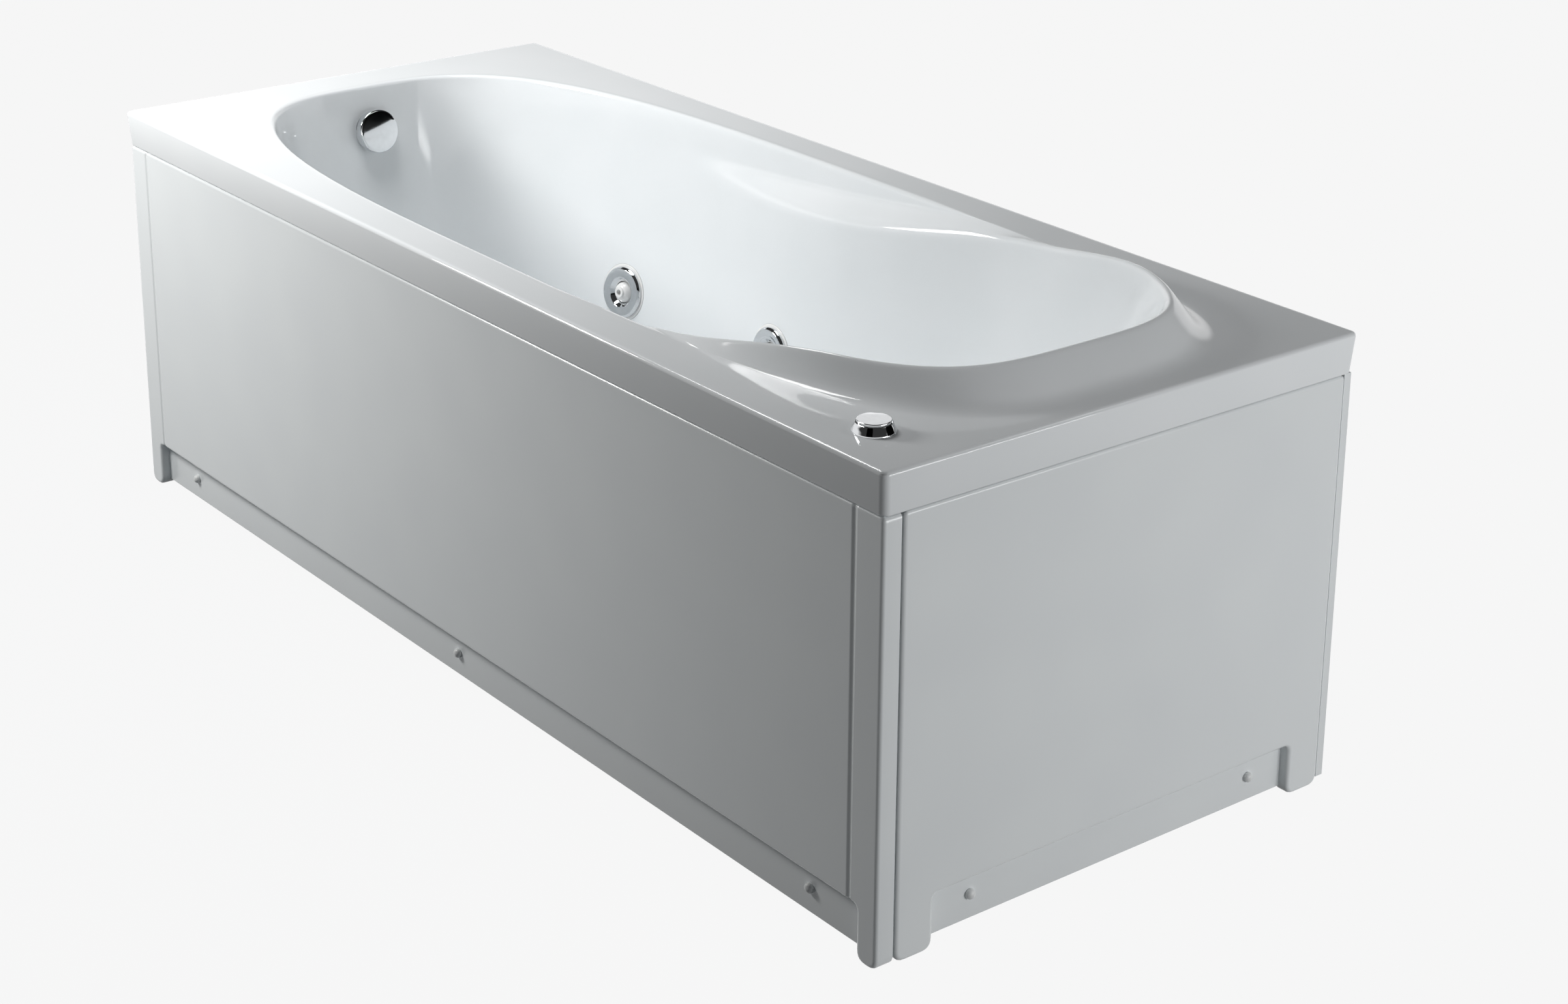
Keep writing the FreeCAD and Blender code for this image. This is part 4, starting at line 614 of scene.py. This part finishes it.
# overflow knob, plug and air button
knob = {"radius": 32, "low": 8.3, "high": 22.3, "edge": 2.0, "crown": 1.4, "domeShare": 0.6,
        "lowEdge": 1.0, "spindle": 5, "spindleEnd": -20, "rosette": 29, "rosetteHigh": 4.3}
rosette = {"bore": 6, "low": 0.3, "rim": 2.0, "slope": 6, "rimEdge": 1.2, "slopeEdge": 2.5}
plug = {"radius": 33, "low": 3.3, "high": 8, "edge": 3.4, "stem": 4, "stemEnd": -40,
        "slope": 6, "rimDrop": 0.6, "slopeDrop": 0.1, "lowEdge": 0.5, "slopeEdge": 3}
# points of the button: shoulder as how far it is drawn in from the bezel, lip as how far it
# stands out from the bore, each with its height
button = {"bezel": 24, "bore": 19.3, "boreDepth": 5, "neck": 14.7, "neckBore": 12,
          "neckEnd": -34, "cap": 18.9, "capLow": 8.3, "capHigh": 12.8, "capEdge": 1.2,
          "capLowEdge": 0.4, "low": 0.05,
          "shoulder": ((0, 0.05), (0, 0.5), (0.4, 1.4), (1.5, 4.2), (2.8, 7.0), (3.8, 8.9)),
          "lip": ((0.6, 9.7), (0.2, 9.9), (0, 9.7))}


def makeKnob():
    form = rounded([(0, knob["spindleEnd"]), (knob["spindle"], knob["spindleEnd"]),
                    (knob["spindle"], knob["low"]), (knob["radius"], knob["low"]),
                    (knob["radius"], knob["high"] - knob["crown"])],
                   {3: knob["lowEdge"]})
    # the face is a shallow dome
    for k in range(9):
        reach = 1 - k / 8
        form.append(((knob["radius"] - knob["edge"]) * reach,
                     knob["high"] - knob["crown"] * reach ** 2 * knob["domeShare"]))
    form = rounded(form, {len(form) - 10: knob["edge"] * 0.8})
    finishPiece("overflowKnob", turnedForm(form, [overflowPlace], 128), chrome, "knob",
                ["overflow_knob"], angle=28)
    wide, high = knob["rosette"], knob["rosetteHigh"]
    dome = rounded([(rosette["bore"], rosette["low"]), (wide, rosette["low"]),
                    (wide, rosette["rim"]), (wide - rosette["slope"], high),
                    (rosette["bore"], high), (rosette["bore"], rosette["low"])],
                   {2: rosette["rimEdge"], 3: rosette["slopeEdge"]})
    finishPiece("overflowRosette", turnedForm(dome, [overflowPlace], 96), chrome, "tub",
                ["overflow_rosette"])


def makePlug():
    form = rounded([(0, plug["stemEnd"]), (plug["stem"], plug["stemEnd"]),
                    (plug["stem"], plug["low"]), (plug["radius"], plug["low"]),
                    (plug["radius"], plug["high"] - plug["rimDrop"]),
                    (plug["radius"] - plug["slope"], plug["high"] - plug["slopeDrop"]),
                    (0, plug["high"])],
                   {3: plug["lowEdge"], 4: plug["edge"] * 0.5, 5: plug["slopeEdge"]})
    finishPiece("drainPlug", turnedForm(form, [drainPlace], 96), chrome, "plug",
                ["drain_plug"])


def makeButton():
    bezel = [(button["neckBore"], button["neckEnd"]), (button["neck"], button["neckEnd"]),
             (button["neck"], button["low"])]
    bezel += [(button["bezel"] - inset, height) for inset, height in button["shoulder"]]
    bezel += [(button["bore"] + outset, height) for outset, height in button["lip"]]
    bezel += [(button["bore"], button["boreDepth"]), (button["neckBore"], button["boreDepth"]),
              (button["neckBore"], button["neckEnd"])]
    finishPiece("buttonBezel", turnedForm(bezel, [buttonPlace], 96), chrome, "tub",
                ["button_bezel"])
    cap = rounded([(0, button["capLow"]), (button["cap"], button["capLow"]),
                   (button["cap"], button["capHigh"]), (0, button["capHigh"])],
                  {1: button["capLowEdge"], 2: button["capEdge"]})
    return finishPiece("buttonCap", turnedForm(cap, [buttonPlace], 96), chrome, "button",
                       ["button_cap"], angle=28)


makeKnob()
makePlug()
buttonCap = makeButton()
print("knob, plug and button made")


# apron panels
panel = {  # grooveCuts are in groove widths from a groove's middle
    "edge": 4.5, "flatEdge": 1, "footRound": 14, "topRound": 7, "sheet": 3.5,
    "kick": 66, "kickDepth": 13, "kickLift": 8, "kickRound": 9, "kickEdge": 1.6,
    "kickOverlap": 2, "frontKickEnd": 33, "endKickEnd": 52,
    "grooveInset": 46, "grooveWidth": 7, "grooveDepth": 1.6,
    "grooveCuts": (-0.8, -0.5, -0.3, 0, 0.3, 0.5, 0.8),
}


def panelOutline(halfWidth, top, kickEnd, inset, depth):
    # The panel's edge with its kick recess, drawn in by the inset, as (across, depth, up).
    wide, kickWide = halfWidth - inset, halfWidth - kickEnd + inset
    kick = panel["kick"] + inset
    corners = [(-wide, inset), (-kickWide, inset), (-kickWide, kick), (kickWide, kick),
               (kickWide, inset), (wide, inset), (wide, top - inset), (-wide, top - inset)]
    foot, hollow = panel["footRound"] - inset, panel["kickRound"] + inset
    topRound = panel["topRound"] - inset
    points = rounded(corners, {0: foot, 1: foot, 2: hollow, 3: hollow, 4: foot, 5: foot,
                               6: topRound, 7: topRound})
    return [Vector((across, depth, height)) for across, height in points]


def makePanel(name, node, facingHead, kickEnd, grooves):
    low, high = [Vector(corner) * 1000 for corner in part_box(node)]
    centre = (low + high) / 2
    if facingHead:
        halfWidth, wrap = (high.y - low.y) / 2, high.x - low.x
        place = facing(Vector((high.x, centre.y, 0)), up, Vector((0, 1, 0)))
    else:
        halfWidth, wrap = (high.x - low.x) / 2, high.y - low.y
        place = facing(Vector((centre.x, low.y, 0)), up, Vector((1, 0, 0)))
    mesh = bmesh.new()

    def outline(inset, depth):
        return panelOutline(halfWidth, high.z, kickEnd, inset, depth)

    edge, sheet = panel["edge"], panel["sheet"]
    rings = [outline(edge + panel["flatEdge"], 0)]
    for degrees in quarterRound:
        turn = math.radians(degrees)
        rings.append(outline(edge * (1 - math.sin(turn)), edge * (1 - math.cos(turn))))
    rings += [outline(0, wrap), outline(sheet, wrap), outline(edge, sheet)]
    face, back = drawRings(mesh, rings)
    bmesh.ops.holes_fill(mesh, edges=face, sides=len(rings[0]))
    bmesh.ops.holes_fill(mesh, edges=back, sides=len(rings[0]))
    for groove in grooves:
        middle = groove * (halfWidth - panel["grooveInset"])
        for step in panel["grooveCuts"]:
            bmesh.ops.bisect_plane(mesh, geom=mesh.verts[:] + mesh.edges[:] + mesh.faces[:],
                                   plane_co=(middle + step * panel["grooveWidth"], 0, 0),
                                   plane_no=(1, 0, 0))
        for vert in mesh.verts:
            reach = abs(vert.co.x - middle) / (panel["grooveWidth"] / 2)
            if reach < 0.99 and vert.co.y < sheet - 0.1:
                vert.co.y += panel["grooveDepth"] * (1 - reach ** 2)
    kickWide = halfWidth - kickEnd + panel["kickOverlap"]
    inner, outer = panel["kickDepth"] + sheet, panel["kickDepth"]
    section = rounded([(inner, panel["kickLift"]), (outer, panel["kickLift"]),
                       (outer, panel["kick"] + sheet), (inner, panel["kick"] + sheet)],
                      {1: panel["kickEdge"]})
    kickFirst, kickLast = drawRings(mesh, [[Vector((across, depth, height))
                                            for depth, height in section]
                                           for across in (-kickWide, kickWide)])
    bmesh.ops.holes_fill(mesh, edges=kickFirst, sides=len(section))
    bmesh.ops.holes_fill(mesh, edges=kickLast, sides=len(section))
    bmesh.ops.transform(mesh, matrix=place, verts=mesh.verts[:])
    return finishPiece(name, mesh, panelAcrylic, "tub", [node], angle=40)


frontPanel = makePanel("frontPanel", "front_panel", False, panel["frontKickEnd"], (-1, 1))
makePanel("endPanel", "end_panel", True, panel["endKickEnd"], ())
print("apron panels made")


# caps over the panels' fixing screws
# the cap's side is given as how far it is drawn in, and its height
screwCap = {"radius": 6.2, "height": 7, "z": 39, "frontX": (-720, 0, 720), "frontY": -333,
            "endY": (-204, 228), "endX": 833,
            "side": ((0.6, 0), (0, 0.8), (0, 2.4), (0.5, 4.0), (1.7, 5.5), (3.6, 6.6))}


def makeScrewCaps():
    dome = [(0, 0)]
    dome += [(screwCap["radius"] - inset, height) for inset, height in screwCap["side"]]
    dome.append((0, screwCap["height"]))
    front = [facing(Vector((x, screwCap["frontY"], screwCap["z"])), Vector((0, -1, 0)),
                    Vector((1, 0, 0))) for x in screwCap["frontX"]]
    end = [facing(Vector((screwCap["endX"], y, screwCap["z"])), Vector((1, 0, 0)),
                  Vector((0, 1, 0))) for y in screwCap["endY"]]
    for name, node, places in (("frontScrewCaps", "front_panel_screws", front),
                               ("endScrewCaps", "end_panel_screws", end)):
        finishPiece(name, turnedForm(dome, places, 32), materials["screw_cap"], "tub", [node])


makeScrewCaps()


# hidden cable of the pop-up waste and air hose of the button
cable = {"diameter": 0.006, "length": 0.53,
         "route": [(-0.790, 0.030, 0.462), (-0.790, 0.030, 0.215), (-0.7067, 0.030, 0.082),
                   (-0.552, 0.030, 0.082)]}
hose = {"diameter": 0.006, "length": 0.51,
        "route": [(0.753, -0.283, 0.520), (0.753, -0.283, 0.460), (0.782, -0.288, 0.370),
                  (0.788, -0.290, 0.280), (0.760, -0.290, 0.195), (0.690, -0.287, 0.155),
                  (0.630, -0.283, 0.150), (0.570, -0.283, 0.150)]}


def makeCord(name, node, line, material):
    # A flexible line on one smooth curve through the points of its route, in metres.
    curve = bpy.data.curves.new(name, "CURVE")
    curve.dimensions = "3D"
    curve.bevel_depth = line["diameter"] / 2
    curve.bevel_resolution = 4
    curve.use_fill_caps = True
    spline = curve.splines.new("NURBS")
    spline.points.add(len(line["route"]) - 1)
    for point, place in zip(spline.points, line["route"]):
        point.co = (*place, 1)
    spline.order_u = 3
    spline.use_endpoint_u = True
    spline.resolution_u = 12
    curve.materials.append(material)
    piece = bpy.data.objects.new(name, curve)
    bpy.context.scene.collection.objects.link(piece)
    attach(piece, "tub")
    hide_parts(node)


makeCord("popupCable", "popup_cable", cable, materials["cable"])
makeCord("buttonHose", "button_hose", hose, materials["vinyl"])
print("screw caps and lines made")


# floor, light and camera
# floorSize is in metres, the world's values are strengths as it lights and is mirrored, and
# the horizon's are heights of a direction, from 0 level to 1 straight up
stageSizes = {
    "floorSize": 14, "floorColour": "50565A", "floorShade": "4B5155", "worldLight": 0.055,
    "worldMirrored": 0.04, "floorGlow": 0.92, "horizonTop": 0.20, "horizonFade": 0.30,
}


def makeFloor():
    mesh = bmesh.new()
    bmesh.ops.create_grid(mesh, x_segments=1, y_segments=1, size=stageSizes["floorSize"] / 2)
    data = bpy.data.meshes.new("studioFloor")
    mesh.to_mesh(data)
    mesh.free()
    floor = bpy.data.objects.new("studioFloor", data)
    bpy.context.scene.collection.objects.link(floor)
    material = newMaterial("palePaperFloor")
    coords = addNode(material, "ShaderNodeTexCoord")
    fibres = addNode(material, "ShaderNodeTexNoise",
                     {"Vector": coords.outputs["Object"], "Scale": 300.0})
    tint = addNode(material, "ShaderNodeValToRGB", {"Fac": fibres.outputs["Fac"]})
    tint.color_ramp.elements[0].color = linearColour(stageSizes["floorShade"])
    tint.color_ramp.elements[1].color = linearColour(stageSizes["floorColour"])
    paper = addNode(material, "ShaderNodeBsdfDiffuse", {"Color": tint.outputs["Color"]})
    white = addNode(material, "ShaderNodeEmission", {"Strength": 1.0})
    path = addNode(material, "ShaderNodeLightPath")
    seen = addNode(material, "ShaderNodeMath", {0: path.outputs["Is Camera Ray"],
                                                1: path.outputs["Is Glossy Ray"]},
                   operation="ADD")
    through = addNode(material, "ShaderNodeMath", {0: seen.outputs[0],
                                                   1: path.outputs["Is Transmission Ray"]},
                      operation="ADD", use_clamp=True)
    glow = addNode(material, "ShaderNodeMath",
                   {0: through.outputs[0], 1: stageSizes["floorGlow"]}, operation="MULTIPLY")
    mixed = addNode(material, "ShaderNodeMixShader", {"Fac": glow.outputs[0]})
    material.node_tree.links.new(paper.outputs[0], mixed.inputs[1])
    material.node_tree.links.new(white.outputs[0], mixed.inputs[2])
    finishMaterial(material, mixed)
    data.materials.append(material)


def makeWorld():
    world = bpy.data.worlds.new("studioWorld")
    bpy.context.scene.world = world
    world.use_nodes = True
    world.node_tree.nodes.clear()
    path = addNode(world, "ShaderNodeLightPath")
    seen = addNode(world, "ShaderNodeMath", {0: path.outputs["Is Camera Ray"],
                                             1: path.outputs["Is Transmission Ray"]},
                   operation="MAXIMUM")
    coords = addNode(world, "ShaderNodeTexCoord")
    way = addNode(world, "ShaderNodeSeparateXYZ", {"Vector": coords.outputs["Generated"]})
    backdrop = addNode(world, "ShaderNodeMapRange",
                       {"Value": way.outputs["Z"], "From Min": stageSizes["horizonTop"],
                        "From Max": stageSizes["horizonFade"], "To Min": 1.0,
                        "To Max": stageSizes["worldMirrored"]})
    mirrored = addNode(world, "ShaderNodeMix", {"Factor": path.outputs["Is Glossy Ray"],
                                                "A": stageSizes["worldLight"],
                                                "B": backdrop.outputs["Result"]})
    strength = addNode(world, "ShaderNodeMix", {"Factor": seen.outputs[0],
                                                "A": mirrored.outputs["Result"], "B": 1.0})
    light = addNode(world, "ShaderNodeBackground",
                    {"Color": linearColour("FFFFFF"), "Strength": strength.outputs["Result"]})
    addNode(world, "ShaderNodeOutputWorld", {"Surface": light.outputs[0]})


def addSoftbox(name, place, target, width, height, power, colour="FFFFFF"):
    light = bpy.data.lights.new(name, "AREA")
    light.shape = "RECTANGLE"
    light.size = width
    light.size_y = height
    light.energy = power
    light.color = linearColour(colour)[:3]
    lamp = bpy.data.objects.new(name, light)
    lamp.location = place
    lamp.rotation_euler = (Vector(target) - Vector(place)).to_track_quat("-Z", "Y").to_euler()
    bpy.context.scene.collection.objects.link(lamp)
    return lamp


def addFlag(place, target, width, height):
    # A black studio card that only shows as a dark band in polished metal and gloss.
    mesh = bmesh.new()
    way = (Vector(target) - Vector(place)).to_track_quat("-Z", "Y").to_matrix().to_4x4()
    bmesh.ops.create_grid(mesh, x_segments=1, y_segments=1, size=0.5,
                          matrix=Matrix.Translation(place) @ way
                          @ Matrix.Diagonal((width, height, 1, 1)))
    data = bpy.data.meshes.new("blackCard")
    mesh.to_mesh(data)
    mesh.free()
    card = bpy.data.objects.new("blackCard", data)
    bpy.context.scene.collection.objects.link(card)
    material = newMaterial("blackCardPaper")
    paper = addNode(material, "ShaderNodeBsdfDiffuse", {"Color": linearColour("0C0C0D")})
    finishMaterial(material, paper)
    data.materials.append(material)
    card.visible_camera = False
    card.visible_diffuse = False
    card.visible_shadow = False
    card.visible_transmission = False


# place, target, width and height in metres; the lamps' power in watts
flags = (((1.9, -2.6, 1.9), (0.2, 0.0, 0.5), 1.6, 0.7),
         ((1.52, 1.24, 1.0), (-0.76, 0.0, 0.5), 1.8, 0.8))
softboxes = {
    "basinSoftbox": ((-0.65, -0.25, 2.0), (-0.45, 0.0, 0.4), 0.8, 0.6, 17),
    "apronSoftbox": ((-1.2, -1.25, 1.3), (-0.6, -0.35, 0.4), 0.5, 0.5, 21, "FFFEFC"),
    "apronStrip": ((-0.56, -1.5, 1.36), (0.8, -0.35, 0.5), 0.3, 0.15, 1.5),
    "headSoftbox": ((3.2, 0.8, 0.55), (0.8, 0.0, 0.3), 1.8, 0.8, 34),
    "edgeSoftbox": ((1.75, 1.18, 1.9), (0.85, 0.0, 0.55), 0.7, 0.5, 3),
    "capCard": ((0.177, 0.181, 0.875), (0.753, -0.283, 0.583), 0.5, 0.3, 0.40),
}

makeFloor()
makeWorld()
for flag in flags:
    addFlag(*flag)
lamps = {name: addSoftbox(name, *softbox) for name, softbox in softboxes.items()}
# the card is seen only in the button's cap, and the strip lights only the front panel
for name, piece in (("capCard", buttonCap), ("apronStrip", frontPanel)):
    linking = lamps[name].light_linking
    linking.receiver_collection = bpy.data.collections.new("litBy" + name)
    linking.receiver_collection.objects.link(piece)

# from the photograph's vanishing lines: degrees, metres, pixels of the photograph, the sensor
# in millimetres and shiftY as a share of the sensor's width
cameraSizes = {
    "azimuth": 51.96, "elevation": 18.19, "roll": 0.44, "focalPixels": 4370.8,
    "place": (2.8441, -2.0382, 1.6491), "shiftY": -0.154, "imageWidth": 2404, "sensorWidth": 36,
}


def makeCamera():
    turn = math.radians(cameraSizes["azimuth"])
    rise = math.radians(cameraSizes["elevation"])
    roll = math.radians(cameraSizes["roll"])
    back = Vector((math.sin(turn) * math.cos(rise), -math.cos(turn) * math.cos(rise),
                   math.sin(rise)))
    right = Vector((math.cos(turn), math.sin(turn), 0))
    above = back.cross(right)
    rolledRight = right * math.cos(roll) + above * math.sin(roll)
    rolledAbove = above * math.cos(roll) - right * math.sin(roll)
    data = bpy.data.cameras.new("photographCamera")
    data.sensor_width = cameraSizes["sensorWidth"]
    data.lens = (cameraSizes["focalPixels"] / cameraSizes["imageWidth"]
                 * cameraSizes["sensorWidth"])
    data.shift_y = cameraSizes["shiftY"]
    camera = bpy.data.objects.new("photographCamera", data)
    turned = Matrix((rolledRight, rolledAbove, back)).transposed().to_4x4()
    camera.matrix_world = Matrix.Translation(cameraSizes["place"]) @ turned
    bpy.context.scene.collection.objects.link(camera)
    bpy.context.scene.camera = camera


makeCamera()
bpy.context.scene.view_settings.view_transform = "Standard"
print("floor, light and camera set")
